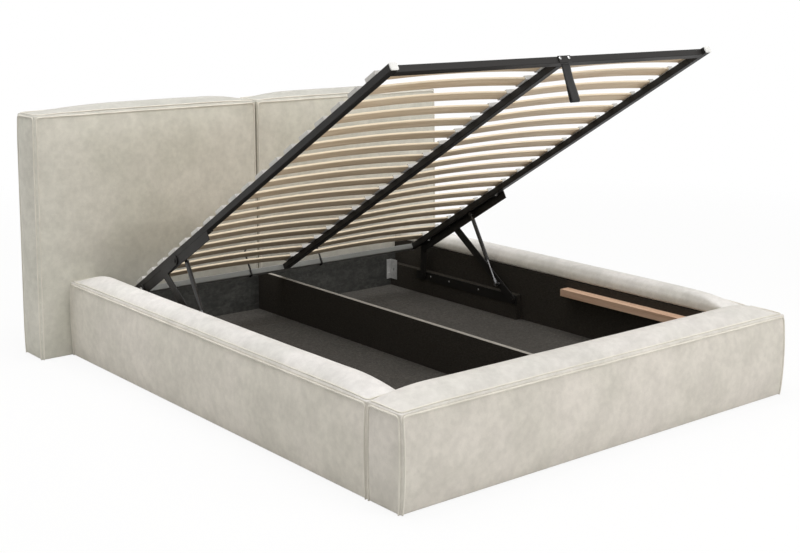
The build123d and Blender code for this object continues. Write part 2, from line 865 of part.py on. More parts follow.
# Steel angles under the side tubes, which carry the arms and the gas springs
rivet_back_half = angle_inner_half - rivet_head_height
rivet_back_radius = frame_pin_drop + angle_shelf_height - pin_head_gap
for side, sign in sides:
    with BuildPart() as frame_angle:
        frame_box(
            (sign * angle_inner_half, sign * frame_half),
            (angle_start, angle_end),
            (-tube_height, -tube_height - angle_drop),
        )
        frame_box(
            (sign * tube_inner_half, sign * angle_inner_half),
            (angle_start, angle_end),
            (-tube_height, angle_shelf_height),
        )
        flange_x_ends = (sign * (angle_inner_half - overrun), sign * (frame_half + overrun))
        for pin in (long_arm_head, spring_head):
            side_disc(pin, pin_radius, flange_x_ends, Mode.SUBTRACT)
        for place in bolt_places:
            spot = (sign * tube_middle_half, place)
            frame_disc(spot, bolt_radius, (-tube_height, angle_shelf_height), Mode.SUBTRACT)
    write(frame_angle, f"{side}_frame_angle")

    with BuildPart() as frame_pivots:
        pin_outer = arm_outer_half + pin_head_gap
        side_disc(long_arm_head, pin_radius, (sign * angle_inner_half, sign * pin_outer))
        side_disc(long_arm_head, pin_head_radius, (sign * pin_outer, sign * (pin_outer + pin_head_height)))
        for head in (long_arm_head, short_arm_head):
            side_disc(head, rivet_back_radius, (sign * rivet_back_half, sign * angle_inner_half))
        side_disc(spring_head, pin_radius, (sign * eye_inner_half, sign * frame_half))
        clip_end = eye_inner_half - pin_head_gap
        side_disc(spring_head, pin_radius, (sign * clip_end, sign * eye_inner_half))
        side_disc(spring_head, eye_radius, (sign * (clip_end - rivet_head_height), sign * clip_end))
    write(frame_pivots, f"{side}_frame_pivots")

with BuildPart() as frame_bolts:
    for _, sign in sides:
        for place in bolt_places:
            spot = (sign * tube_middle_half, place)
            frame_disc(spot, bolt_radius, (angle_shelf_height, tube_wall - tube_height))
            with BuildSketch(frame_plane.offset(angle_shelf_height)) as hexagon:
                with Locations(spot):
                    RegularPolygon(bolt_head_radius, 6)
            extrude(hexagon.sketch, amount=-bolt_head_height)
write(frame_bolts, "frame_bolts")

# Wire retainer for the mattress, hooked under the head tube
retainer_place = head_tube_start - retainer_radius - soft_clearance
hook_height = -tube_height - retainer_radius - soft_clearance
retainer_half = retainer_width / 2
hook_end = retainer_place + tube_width * retainer_hook_share
hook_bend = retainer_radius + 2 * soft_clearance
with BuildPart() as mattress_retainer:
    with BuildLine(frame_plane) as wire_path:
        FilletPolyline(
            (-retainer_half, hook_end, hook_height),
            (-retainer_half, retainer_place, hook_height),
            (-retainer_half, retainer_place, retainer_height),
            (retainer_half, retainer_place, retainer_height),
            (retainer_half, retainer_place, hook_height),
            (retainer_half, hook_end, hook_height),
            radius=(hook_bend, retainer_bend, retainer_bend, hook_bend),
        )
    with BuildSketch(Plane(origin=wire_path.wire() @ 0, z_dir=wire_path.wire() % 0)):
        Circle(retainer_radius)
    sweep()
write(mattress_retainer, "mattress_retainer")

# Pull strap at the foot of the frame, with its plate
strap_x = strap_plate_offset
plate_front = foot_tube_setback - strap_plate_thickness
screw_spots = [strap_x + sign * (strap_plate_width / 2 - strap_screw_inset) for _, sign in sides]
with BuildPart() as strap_plate:
    frame_box(
        (strap_x - strap_plate_width / 2, strap_x + strap_plate_width / 2),
        (plate_front, foot_tube_setback),
        (-tube_height, 0),
    )
write(strap_plate, "strap_plate")

with BuildPart() as strap_screws:
    with BuildSketch(frame_front.offset(-plate_front)) as heads:
        with Locations(*[(spot, -tube_height * strap_screw_drop_share) for spot in screw_spots]):
            Circle(screw_head_radius)
    extrude(heads.sketch, amount=screw_head_height)
write(strap_screws, "strap_screws")

strap_pivot = (foot_tube_setback + 2 * strap_thickness, -tube_height - soft_clearance - strap_thickness)
pivot_y, pivot_z = open_point(*strap_pivot)
hang = turned(sin(radians(strap_hang_angle)), -cos(radians(strap_hang_angle)), -open_tilt)
strap_plane = Plane(
    origin=(strap_x - strap_width / 2, pivot_y, pivot_z),
    x_dir=(0, *hang),
    z_dir=(1, 0, 0),
)
loop_radius = strap_opening / 2 + strap_thickness
with BuildPart() as pull_strap:
    with BuildSketch(strap_plane) as loop_outside:
        Circle(strap_thickness)
        with Locations((strap_length - loop_radius, 0)):
            Circle(loop_radius)
        make_hull()
    extrude(loop_outside.sketch, amount=strap_width)
    with BuildSketch(strap_plane) as loop_inside:
        with Locations((strap_length * strap_joined_share, 0)):
            Circle(strap_thickness / 2)
        with Locations((strap_length - loop_radius, 0)):
            Circle(strap_opening / 2)
        make_hull()
    extrude(loop_inside.sketch, amount=strap_width, mode=Mode.SUBTRACT)
write(pull_strap, "pull_strap")
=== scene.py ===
import math

import bmesh
import bpy
import numpy as np
from mathutils import Matrix, Vector, noise


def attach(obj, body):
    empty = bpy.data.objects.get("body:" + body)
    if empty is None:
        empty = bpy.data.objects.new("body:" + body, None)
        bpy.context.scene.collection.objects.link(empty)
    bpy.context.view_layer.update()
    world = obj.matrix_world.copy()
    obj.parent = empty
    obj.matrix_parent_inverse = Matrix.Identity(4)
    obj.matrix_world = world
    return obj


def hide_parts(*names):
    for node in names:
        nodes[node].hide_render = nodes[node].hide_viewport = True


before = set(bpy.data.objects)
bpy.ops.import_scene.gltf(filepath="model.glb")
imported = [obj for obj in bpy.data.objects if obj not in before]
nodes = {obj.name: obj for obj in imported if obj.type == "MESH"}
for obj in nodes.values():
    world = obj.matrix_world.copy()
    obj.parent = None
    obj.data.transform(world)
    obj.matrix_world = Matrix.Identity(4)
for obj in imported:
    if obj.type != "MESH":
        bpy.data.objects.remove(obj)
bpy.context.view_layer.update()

# Upholstered storage bed, its slatted frame lifted. Metres, Z up, foot end towards -Y.
scene = bpy.context.scene
sideNames = (("left", -1), ("right", 1))
liftTilt = math.radians(30.7)  # the open frame's tilt
hair = 1e-6
nearOne = 0.9999

camera = {
    "place": (-3.28236, -4.08717, 1.58042),
    "turn": 0.6791,       # to the right of straight ahead
    "dip": 0.1742,        # below level
    "lens": 60.03,
    "sensorWidth": 36,
    "shiftY": -0.083,
    "farthest": 100,
}
studio = {
    "sky": (1, 0.985, 0.955, 1),
    "skyStrength": 0.45,
    "floorSize": 30,
    "floorColour": (0.75, 0.75, 0.75, 1),
    "floorWhiteShare": 0.88,
    "floorNear": 2.4,        # from here to the far distance the floor fades into the white
    "floorFar": 5.5,
}
lamps = {
    "backLamp": {"place": (-0.8, 1.2, 6.5), "aim": (0, 0, 0), "size": (5.5, 5.5), "power": 262.0,
                 "colour": (1, 0.995, 0.985)},
    "topLamp": {"place": (-0.3, -1.6, 6.5), "aim": (0, 0, 0), "size": (5.0, 5.0), "power": 178.0,
                "colour": (1, 0.995, 0.985)},
    "frontLamp": {"place": (1.6, -5.0, 2.6), "aim": (0, 0, 0.5), "size": (3.0, 2.1), "power": 80.0,
                  "colour": (1, 0.98, 0.96)},
}


def added(name, data):
    thing = bpy.data.objects.new(name, data)
    scene.collection.objects.link(thing)
    return thing


def makeCamera():
    data = bpy.data.cameras.new("camera")
    data.lens = camera["lens"]
    data.sensor_width = camera["sensorWidth"]
    data.shift_y = camera["shiftY"]
    data.clip_end = camera["farthest"]
    shot = added("camera", data)
    shot.location = camera["place"]
    shot.rotation_euler = (math.pi / 2 - camera["dip"], 0, -camera["turn"])
    scene.camera = shot


def softLamp(name, values):
    data = bpy.data.lights.new(name, "AREA")
    data.shape = "RECTANGLE"
    data.size, data.size_y = values["size"]
    data.energy = values["power"]
    data.color = values["colour"]
    lamp = added(name, data)
    lamp.location = values["place"]
    way = Vector(values["aim"]) - Vector(values["place"])
    lamp.rotation_euler = way.to_track_quat("-Z", "Y").to_euler()


def setInputs(tree, node, inputs):
    # a socket is linked, a plain value is set
    for key, value in inputs.items():
        if isinstance(value, bpy.types.NodeSocket):
            tree.links.new(value, node.inputs[key])
        else:
            node.inputs[key].default_value = value


def addNode(tree, kind, inputs=None, family="ShaderNode", **settings):
    node = tree.nodes.new(family + kind)
    for key, value in settings.items():
        setattr(node, key, value)
    setInputs(tree, node, inputs or {})
    return node


def made(tree, kind, inputs=None, family="ShaderNode", **settings):
    # the new node's first output
    return addNode(tree, kind, inputs, family, **settings).outputs[0]


def grow(tree, kind, inputs=None, **settings):
    return made(tree, kind, inputs, "GeometryNode", **settings)


def maths(tree, operation, first, second):
    return made(tree, "Math", {0: first, 1: second}, operation=operation)


def vectorMaths(tree, operation, first, inputs):
    return made(tree, "VectorMath", {0: first, **inputs}, operation=operation)


def seenAsBackground(tree):
    # camera, glossy and transmission rays take the plain white
    rays = addNode(tree, "LightPath").outputs
    seen = maths(tree, "MAXIMUM", rays["Is Camera Ray"], rays["Is Glossy Ray"])
    return maths(tree, "MAXIMUM", seen, rays["Is Transmission Ray"])


def makeStudio():
    scene.view_settings.view_transform = "Standard"
    world = bpy.data.worlds.new("studio")
    world.use_nodes = True
    tree = world.node_tree
    tree.nodes.clear()
    sky = made(tree, "Background", {"Color": studio["sky"], "Strength": studio["skyStrength"]})
    white = made(tree, "Background", {"Color": (1, 1, 1, 1), "Strength": 1.0})
    mixed = made(tree, "MixShader", {0: seenAsBackground(tree), 1: sky, 2: white})
    addNode(tree, "OutputWorld", {"Surface": mixed})
    scene.world = world
    for name, values in lamps.items():
        softLamp(name, values)


def makeFloor():
    plane = bmesh.new()
    bmesh.ops.create_grid(plane, x_segments=4, y_segments=4, size=studio["floorSize"])
    mesh = bpy.data.meshes.new("floor")
    plane.to_mesh(mesh)
    plane.free()
    floor = added("floor", mesh)
    paint = bpy.data.materials.new("floorPaint")
    paint.use_nodes = True
    tree = paint.node_tree
    tree.nodes.clear()
    matt = made(tree, "BsdfDiffuse", {"Color": studio["floorColour"]})
    bright = made(tree, "Emission", {"Color": (1, 1, 1, 1), "Strength": 1.0})
    spot = addNode(tree, "TexCoord").outputs["Object"]
    away = addNode(tree, "VectorMath", {0: spot}, operation="LENGTH").outputs["Value"]
    white = made(tree, "MapRange", {
        0: away, 1: studio["floorNear"], 2: studio["floorFar"], 3: studio["floorWhiteShare"], 4: 1.0})
    share = maths(tree, "MULTIPLY", seenAsBackground(tree), white)
    mixed = made(tree, "MixShader", {0: share, 1: matt, 2: bright})
    addNode(tree, "OutputMaterial", {"Surface": mixed})
    mesh.materials.append(paint)


makeCamera()
makeStudio()
makeFloor()
print("camera and studio ready")


def srgb(red, green, blue):
    def linear(level):
        level /= 255
        return level / 12.92 if level <= 0.04045 else ((level + 0.055) / 1.055) ** 2.4
    return (linear(red), linear(green), linear(blue), 1)


def shaded(tone, share, lift=0.0):
    return tuple(level * share + lift for level in tone[:3]) + (1,)


def newFinish(name):
    finish = bpy.data.materials.new(name)
    finish.use_nodes = True
    return finish, finish.node_tree


def dressed(finish, colour, normal, inputs):
    tree = finish.node_tree
    setInputs(tree, tree.nodes["Principled BSDF"], {"Base Color": colour, "Normal": normal, **inputs})
    return finish


def pattern(tree, scale, stretch=(1, 1, 1), turn=(0, 0, 0), detail=3.0, roughness=0.5, distortion=0.0):
    # noise on the piece's own coordinates, stretched and turned as the material runs
    source = addNode(tree, "TexCoord").outputs["Object"]
    placed = made(tree, "Mapping", {"Vector": source, "Rotation": turn, "Scale": stretch})
    return addNode(tree, "TexNoise", {
        "Vector": placed, "Scale": scale, "Detail": detail, "Roughness": roughness,
        "Distortion": distortion}).outputs["Fac"]


def blend(tree, share, first, second, mode="MIX"):
    mix = addNode(tree, "Mix", {0: share, 6: first, 7: second}, data_type="RGBA", blend_type=mode)
    return mix.outputs[2]


def band(tree, source, low, high, outLow=0.0, outHigh=1.0):
    return made(tree, "MapRange", {0: source, 1: low, 2: high, 3: outLow, 4: outHigh},
                interpolation_type="SMOOTHSTEP")


def bumped(tree, height, distance, strength, under=None):
    inputs = {"Height": height, "Distance": distance, "Strength": strength}
    if under is not None:
        inputs["Normal"] = under
    return made(tree, "Bump", inputs)


velvetLook = {
    "rose": srgb(210, 205, 196),
    "sage": srgb(203, 199, 189),
    "cloudScale": 3.4,
    "cloudBand": (0.36, 0.64),
    "brushScale": 12.0,
    "brushShare": 0.050,
    "blotchScale": 42.0,
    "blotchShare": 0.035,
    "pileScale": 900.0,
    "pileShare": 0.05,
    "shareBand": (0.34, 0.66),
    "roughness": (0.97, 0.86),
    "surface": {"Sheen Weight": 0.30, "Sheen Roughness": 0.4, "Sheen Tint": srgb(255, 251, 245),
                "Specular IOR Level": 0.12},
    "brushBump": (0.003, 0.07),
    "pileBump": (0.0005, 0.25),
}


def makeVelvet():
    # slow clouds between two tones, then brushed patches, small blotches, the pile itself, and painted light
    # on upright faces and tops
    look = velvetLook
    finish, tree = newFinish("velvet")
    clouds = band(tree, pattern(tree, look["cloudScale"], detail=3), *look["cloudBand"])
    nap = blend(tree, clouds, look["sage"], look["rose"])
    brushed = pattern(tree, look["brushScale"], (1, 1, 0.9), detail=5, roughness=0.62)
    blotches = pattern(tree, look["blotchScale"], detail=3)
    pile = pattern(tree, look["pileScale"], (1, 1, 0.6), detail=2)
    for source, part in ((brushed, "brushShare"), (blotches, "blotchShare"), (pile, "pileShare")):
        level = band(tree, source, *look["shareBand"], 1 - look[part], 1 + look[part])
        grey = made(tree, "CombineXYZ", {"X": level, "Y": level, "Z": level})
        nap = blend(tree, 1.0, nap, grey, "MULTIPLY")
    # painted light: each point's painted brightness for upright faces and tops multiplies the tone
    faceLight = addNode(tree, "Attribute", attribute_name="pileLie", attribute_type="GEOMETRY")
    nap = blend(tree, 1.0, nap, faceLight.outputs["Color"], "MULTIPLY")
    normal = bumped(tree, pile, *look["pileBump"], bumped(tree, brushed, *look["brushBump"]))
    roughness = band(tree, brushed, 0.3, 0.7, *look["roughness"])
    return dressed(finish, nap, normal, {"Roughness": roughness, **look["surface"]})


pipingLook = {
    "cord": srgb(222, 218, 208),
    "worn": srgb(196, 192, 181),
    "wornScale": 9,
    "wornShare": 0.6,
    "threadScale": 420.0,
    "threadShare": 0.3,
    "threadBump": (0.0004, 0.3),
    "surface": {"Roughness": 0.85, "Specular IOR Level": 0.15, "Sheen Weight": 0.2},
}


def makePiping():
    look = pipingLook
    finish, tree = newFinish("piping")
    thread = pattern(tree, look["threadScale"], detail=2)
    slow = pattern(tree, look["wornScale"], detail=2)
    tone = blend(tree, band(tree, slow, 0.35, 0.65, 0, look["wornShare"]), look["cord"], look["worn"])
    tone = blend(tree, band(tree, thread, 0.3, 0.7, 0, look["threadShare"]), tone, look["worn"])
    return dressed(finish, tone, bumped(tree, thread, *look["threadBump"]), look["surface"])


clothLook = {
    "surface": {"Roughness": 0.95, "Specular IOR Level": 0.1},
    "fibre": {"detail": 4, "roughness": 0.7, "distortion": 0.8},
    "slowScale": 2.6,
    "slowShare": 0.25,
    "bumpHeight": 0.0008,
    "tapeBand": (0.0012, 0.0006),     # under the board's top
}


def makeCloth(name, dark, light, scale, bump=0.25, topEdge=None):
    # felt, lining and board papers: two tones of fine fibre over slow patches
    look = clothLook
    finish, tree = newFinish(name)
    fibre = pattern(tree, scale, (1, 0.35, 1), (0, 0, 0.6), **look["fibre"])
    crossed = pattern(tree, scale, (0.35, 1, 1), (0, 0, -0.4), **look["fibre"])
    both = maths(tree, "MULTIPLY", fibre, crossed)
    tone = blend(tree, band(tree, both, 0.12, 0.42), dark, light)
    slow = band(tree, pattern(tree, look["slowScale"], detail=3), 0.35, 0.7, 0.0, look["slowShare"])
    tone = blend(tree, slow, tone, dark)
    if topEdge is not None:
        # a paler tape covers the board's top edge
        height, tape = topEdge
        spot = addNode(tree, "TexCoord").outputs["Object"]
        level = addNode(tree, "SeparateXYZ", {0: spot}).outputs["Z"]
        start, full = look["tapeBand"]
        tone = blend(tree, band(tree, level, height - start, height - full), tone, tape)
    return dressed(finish, tone, bumped(tree, both, look["bumpHeight"], bump), look["surface"])


steelLook = {
    "black": srgb(22, 20, 18),
    # painted light: the head cross tube's black steel painted this grey all over, for the light its face
    # catches
    "grey": srgb(116, 117, 114),
    "zinc": srgb(205, 205, 203),
    "nickel": srgb(226, 226, 226),
    "paintRoughness": 0.5,
    "paintSpecular": 0.32,
    "patchyShare": 1.2,
    "worn": (1.7, 0.02),      # times the paint, and more
    "wornShare": 0.3,
    "peelScale": 520,
    "peelBump": (0.0004, 0.22),
    "dullShare": 0.72,
    "drawnBump": (0.0002, 0.15),
}


def makePaintedSteel(name, paint, gloss=0.0):
    look = steelLook
    finish, tree = newFinish(name)
    peel = pattern(tree, look["peelScale"], detail=2)
    patches = pattern(tree, 6, detail=4, roughness=0.6)
    rubbed = pattern(tree, 34, (1, 0.15, 1), detail=6, roughness=0.7, distortion=0.4)
    scuff = band(tree, rubbed, 0.66, 0.78, 0, look["wornShare"])
    tone = blend(tree, band(tree, patches, 0.3, 0.7), paint, shaded(paint, look["patchyShare"]))
    roughness = look["paintRoughness"] - gloss
    tone = blend(tree, scuff, tone, shaded(paint, *look["worn"]))
    return dressed(finish, tone, bumped(tree, peel, *look["peelBump"]), {
        "Roughness": band(tree, patches, 0.3, 0.75, roughness - 0.06, roughness + 0.10),
        "Specular IOR Level": look["paintSpecular"] + gloss})


def makeBareMetal(name, tone, roughness, stretch=(1, 1, 1), metallic=1.0):
    finish, tree = newFinish(name)
    drawn = pattern(tree, 240, stretch, detail=3)
    dull = band(tree, pattern(tree, 22, detail=4, roughness=0.65), 0.35, 0.75)
    tone = blend(tree, dull, tone, shaded(tone, steelLook["dullShare"]))
    return dressed(finish, tone, bumped(tree, drawn, *steelLook["drawnBump"]), {
        "Roughness": band(tree, drawn, 0.2, 0.8, roughness - 0.07, roughness + 0.12), "Metallic": metallic})


woodLook = {
    "surface": {"Roughness": 0.55, "Specular IOR Level": 0.35},
    "broadScale": 5.5,
    "warmShare": 0.4,
    "grainBump": (0.0005, 0.25),
}
birchLook = {
    "grainScale": 48, "stretch": (0.06, 1, 1), "turn": (liftTilt, 0, 0), "poreScale": 700,
    "poreStretch": (0.05, 1, 1), "poreShare": 0.25, "dark": srgb(196, 172, 142), "light": srgb(219, 199, 172),
    "warm": srgb(222, 202, 174), "pore": srgb(160, 132, 100), "edge": srgb(222, 207, 182),
}
beechLook = {
    "grainScale": 60, "stretch": (1, 0.05, 1), "turn": (0, 0, 0), "poreScale": 600,
    "poreStretch": (1, 0.08, 1), "poreShare": 0.45, "dark": srgb(198, 160, 134), "light": srgb(222, 190, 164),
    "warm": srgb(206, 170, 144), "pore": srgb(168, 130, 104),
}


def makeWood(name, look):
    # grain runs along the piece: stretch is small in that direction
    finish, tree = newFinish(name)
    grain = pattern(tree, look["grainScale"], look["stretch"], look["turn"], 6, 0.6, 0.6)
    pores = pattern(tree, look["poreScale"], look["poreStretch"], look["turn"], 2, 0.5)
    broad = pattern(tree, woodLook["broadScale"], look["stretch"], look["turn"], 2)
    tone = blend(tree, band(tree, grain, 0.32, 0.68), look["dark"], look["light"])
    tone = blend(tree, band(tree, broad, 0.35, 0.7, 0, woodLook["warmShare"]), tone, look["warm"])
    tone = blend(tree, band(tree, pores, 0.62, 0.74, 0, look["poreShare"]), tone, look["pore"])
    if "edge" in look:
        # plies show where the face turns to the slat's edge
        across = addNode(tree, "Attribute", attribute_name="edgeShare").outputs["Fac"]
        tone = blend(tree, across, tone, look["edge"])
    return dressed(finish, tone, bumped(tree, grain, *woodLook["grainBump"]), woodLook["surface"])


plasticLook = {
    "mouldScale": 380,
    "mouldBump": (0.0002, 0.2),
    "cloudScale": 14,
    "shadeShare": 0.86,
}


def makePlastic(name, tone, roughness=0.45):
    look = plasticLook
    finish, tree = newFinish(name)
    mould = pattern(tree, look["mouldScale"], detail=2)
    cloud = band(tree, pattern(tree, look["cloudScale"], detail=3), 0.35, 0.7)
    tone = blend(tree, cloud, tone, shaded(tone, look["shadeShare"]))
    return dressed(finish, tone, bumped(tree, mould, *look["mouldBump"]), {
        "Roughness": band(tree, mould, 0.2, 0.8, roughness - 0.05, roughness + 0.08)})


webbingLook = {
    "thread": srgb(30, 29, 29),
    "gap": srgb(12, 12, 12),
    "ribScale": 420.0 / 6.283,
    "cordScale": 420.0 / 9.0,
    "weaveBump": (0.0006, 0.5),
    "surface": {"Roughness": 0.8, "Sheen Weight": 0.1},
}


def makeWebbing():
    look = webbingLook
    finish, tree = newFinish("webbing")
    place = made(tree, "UVMap", uv_map="weave")
    ribs = addNode(tree, "TexWave", {
        "Vector": place, "Scale": look["ribScale"], "Distortion": 0.3, "Detail": 1.0}, bands_direction="Y")
    cords = addNode(tree, "TexWave", {"Vector": place, "Scale": look["cordScale"]}, bands_direction="X")
    weave = maths(tree, "MULTIPLY", ribs.outputs["Fac"], cords.outputs["Fac"])
    tone = blend(tree, weave, look["gap"], look["thread"])
    return dressed(finish, tone, bumped(tree, weave, *look["weaveBump"]), look["surface"])


dividerTop = max(vertex.co.z for vertex in nodes["centre_divider"].data.vertices)
finishes = {
    "velvet": makeVelvet(),
    "piping": makePiping(),
    "lining": makeCloth("lining", srgb(46, 43, 39), srgb(70, 66, 60), 260),
    "divider": makeCloth("dividerLining", srgb(46, 43, 39), srgb(68, 64, 59), 260,
                         topEdge=(dividerTop, srgb(160, 156, 149))),
    "headFelt": makeCloth("headFelt", srgb(60, 60, 58), srgb(84, 84, 81), 42),
    "felt": makeCloth("floorFelt", srgb(66, 64, 61), srgb(98, 95, 91), 220, bump=0.35),
    "underside": makeCloth("rawBoard", srgb(118, 96, 72), srgb(150, 125, 96), 160),
    "blackSteel": makePaintedSteel("blackSteel", steelLook["black"]),
    # painted light: a copy of the black steel painted grey, for the lit head cross tube
    "greySteel": makePaintedSteel("greySteel", steelLook["grey"]),
    "glossSteel": makePaintedSteel("glossSteel", steelLook["black"], 0.34),
    "zinc": makeBareMetal("zinc", steelLook["zinc"], 0.42, metallic=0.35),
    "nickel": makeBareMetal("nickel", steelLook["nickel"], 0.24),
    "rodSteel": makeBareMetal("rodSteel", srgb(150, 150, 152), 0.25, (1, 1, 0.1)),
    "birch": makeWood("birchSlat", birchLook),
    "beech": makeWood("beechCleat", beechLook),
    "holder": makePlastic("holderPlastic", srgb(206, 204, 200)),
    "cap": makePlastic("capPlastic", srgb(226, 226, 224), 0.38),
    "glide": makePlastic("glidePlastic", srgb(40, 40, 40), 0.6),
    "webbing": makeWebbing(),
}
nodeFinishes = {
    "blackSteel": ["foot_cross_tube", "centre_tube", "mattress_retainer", "strap_plate"],
    "greySteel": ["head_cross_tube"],
    "zinc": ["corner_brackets", "bracket_screws"],
    "nickel": ["base_plate_screws", "centre_tube_screw", "strap_screws", "frame_bolts"],
    "lining": ["foot_board"],
    "divider": ["centre_divider"],
    "headFelt": ["head_board"],
    "underside": ["floor_battens"],
    "holder": ["outer_slat_holders", "centre_slat_holders"],
    "cap": ["tube_end_caps"],
    "glide": ["floor_glides"],
    "webbing": ["pull_strap"],
    "velvet": ["foot_rail", "headboard_panel_left", "headboard_panel_right"],
}
pairFinishes = {
    "blackSteel": ["base_plate", "side_tube", "frame_angle", "long_arm", "short_arm", "base_pivots",
                   "frame_pivots"],
    "glossSteel": ["gas_cylinder"],
    "zinc": ["short_arm_rivet"],
    "nickel": ["spring_stud"],
    "rodSteel": ["gas_rod"],
    "lining": ["side_board", "mounting_block"],
    "felt": ["floor_panel"],
    "beech": ["support_cleat"],
    "birch": ["slats"],
    "velvet": ["side_rail"],
}
for finishName, members in pairFinishes.items():
    pairs = [f"{sideName}_{member}" for sideName, sign in sideNames for member in members]
    nodeFinishes[finishName] = nodeFinishes.get(finishName, []) + pairs
for finishName, members in nodeFinishes.items():
    for member in members:
        nodes[member].data.materials.clear()
        nodes[member].data.materials.append(finishes[finishName])
print("finishes ready")

blockBase = 0.002
risePower = 2.2
rails = {
    "seamHeight": 0.315,
    "lift": 0.027,           # how far the inner top edge stands over the outer seam
    "liftPower": 1.5,
    "crown": 0.019,
    "crownPower": 0.9,
    "crownRun": 0.210,
    "innerRadius": 0.030,
    "faceReach": 0.013,
    "faceRun": 0.3,          # share of the end face that the outer seam draws with it
    "facePower": 0.7,
    "endReach": 0.012,
    "footEndShare": 0.85,
    "sideEndShare": 0.35,
    "lipHeight": 0.288,
    "boardSetBack": 0.0175,
    "footSetBack": 0.0128,
    "setBackMargin": 0.012,
    "hiddenEnd": 0.135,
    "hiddenShare": 0.93,
    "sideCells": (10, 120),
    "footCells": (12, 112),
    "lowCells": 18,
    "topCells": 6,
}
railTall = rails["seamHeight"] - blockBase
lipShare = (rails["lipHeight"] - blockBase) / railTall
headboard = {
    "seamHeight": 1.020,
    "crown": 0.029,
    "crownRun": 0.160,
    "crownPower": 0.8,
    "gapRun": 0.240,         # the top falls quickly towards the gap and slowly towards the outer end
    "outerRun": 0.450,
    "frontReach": 0.014,
    "backReach": 0.008,
    "endReach": 0.018,
    "lowSpread": 0.005,
    "topPull": 0.013,
    "flatHeight": 0.350,
    "flatFade": 0.2,
    "boardHeight": 0.215,
    "boardShare": 0.87,
    "cells": (64, 12, 62),
}
padding = {
    "cloth": {
        "vertex_group_mass": "held", "quality": 5, "mass": 0.3, "use_pressure": True,
        "uniform_pressure_force": 4.0, "tension_stiffness": 25, "compression_stiffness": 25,
        "shear_stiffness": 10, "bending_stiffness": 3,
    },
    "frames": 20,
    "mostMove": 0.006,
    "fill": 0.75,
    "wrinkle": 0.0005,
    "wrinkleScale": 5.5,
    "pucker": 0.0006,
    "puckerScale": 34,
    "puckerPlace": (7, 3, 1),
    "puckerReach": 0.035,
}


def rising(distance, run):
    # 0 at a seam, steep there and level after the run
    share = np.clip(distance / run, 0, 1)
    return 1 - (1 - share) ** risePower


def bothEnds(share, length, run):
    return rising(share * length, run) * rising((1 - share) * length, run)


def softSpacing(count):
    # even steps, drawn closer at both ends
    even = np.linspace(0, 1, count + 1)
    return even - 0.55 * np.sin(2 * math.pi * even) / (2 * math.pi)


def lattice(rows):
    # the outside of a box of cells: shares across, along and up, with its faces
    counts = [len(row) - 1 for row in rows]
    index, shares, faces = {}, [], []

    def corner(spot):
        if spot not in index:
            index[spot] = len(shares)
            shares.append([rows[k][spot[k]] for k in range(3)])
        return index[spot]

    for axis in range(3):
        one, two = [k for k in range(3) if k != axis]
        for end in (0, counts[axis]):
            for i in range(counts[one]):
                for j in range(counts[two]):
                    ring = []
                    for di, dj in ((0, 0), (1, 0), (1, 1), (0, 1)):
                        spot = [0, 0, 0]
                        spot[axis], spot[one], spot[two] = end, i + di, j + dj
                        ring.append(corner(tuple(spot)))
                    faces.append(ring)
    return np.array(shares), faces


def railShape(shares, thickness, length, endShare):
    # across: 0 at the outer seam, 1 at the inner face; along; up
    across, along, up = shares.T
    look = rails
    middle = bothEnds(along, length, look["crownRun"])
    rise = look["lift"] * (1 - (1 - across) ** look["liftPower"])
    rise = rise + look["crown"] * np.sin(math.pi * across) ** look["crownPower"]
    top = look["seamHeight"] + middle * rise
    height = np.where(
        up <= lipShare,
        blockBase + (look["lipHeight"] - blockBase) * up / lipShare,
        look["lipHeight"] + (top - look["lipHeight"]) * (up - lipShare) / (1 - lipShare),
    )
    inward = across * thickness
    # the soft inner corner, on the top and the inner face near it
    radius = look["innerRadius"] * middle
    safe = np.maximum(radius, hair)
    fromInner = thickness - inward
    fromTop = top - height
    onTop = (up > nearOne) & (fromInner < radius)
    onFace = (across > nearOne) & (fromTop < radius) & (up <= nearOne)
    angle = np.where(onTop, math.pi / 4 * (1 + fromInner / safe), math.pi / 4 * (1 - fromTop / safe))
    rounded = onTop | onFace
    inward = np.where(rounded, thickness - radius * (1 - np.cos(angle)), inward)
    height = np.where(rounded, top - radius * (1 - np.sin(angle)), height)
    # under the lip the block stands back behind the lining board
    inward = np.where((across > nearOne) & (up <= lipShare + hair), thickness - look["boardSetBack"], inward)
    # the outer face fills out and draws its upright seams with it by the end share
    reach = look["faceReach"] * (endShare + (1 - endShare) * middle)
    near = np.clip(1 - across / look["faceRun"], 0, 1) ** 2
    inward = inward - reach * near * np.sin(math.pi * np.clip(up, 0, 1)) ** look["facePower"]
    return inward, along * length, height


def headboardShape(shares, width, depth):
    # across from the gap to the outer end; back from the front seam; up
    across, back, up = shares.T
    look = headboard
    tall = look["seamHeight"] - blockBase
    overWidth = bothEnds(across, width, look["crownRun"])
    overDepth = np.sin(math.pi * back) ** look["crownPower"]
    overTop = rising(across * width, look["gapRun"]) * rising((1 - across) * width, look["outerRun"])
    height = blockBase + tall * up + look["crown"] * overTop * overDepth * (up > nearOne)
    low = np.clip((height - look["flatHeight"]) / look["flatFade"], 0, 1)
    overHeight = rising((1 - up) * tall, look["crownRun"])
    fromLow = rising(up * tall, look["crownRun"])
    deep = back * depth
    deep = deep - look["frontReach"] * overWidth * overHeight * low * low * (3 - 2 * low) * (back < hair)
    deep = deep + look["backReach"] * overWidth * overHeight * fromLow * (back > nearOne)
    wide = across * (width + look["lowSpread"] - look["topPull"] * up)
    wide = wide + look["endReach"] * overHeight * fromLow * overDepth * (across > nearOne)
    return wide, deep, height


piping = {
    "cordRadius": 0.0031,
    "inset": 0.0075,         # from the block's edge to the middle of the cord
    "stand": 0.0010,         # the cord's middle over the face
    "cornerRadius": 0.016,
    "cornerSteps": 7,
    "innerShare": 0.93,
    "spacing": 0.016,
    "waviness": 0.0006,
    "waveScale": 9.0,
}


def arch(wide, tall):
    # up one side of a face, over and down the other
    near = piping["inset"]
    return [(near, 0), (near, tall - near), (wide - near, tall - near), (wide - near, 0)]


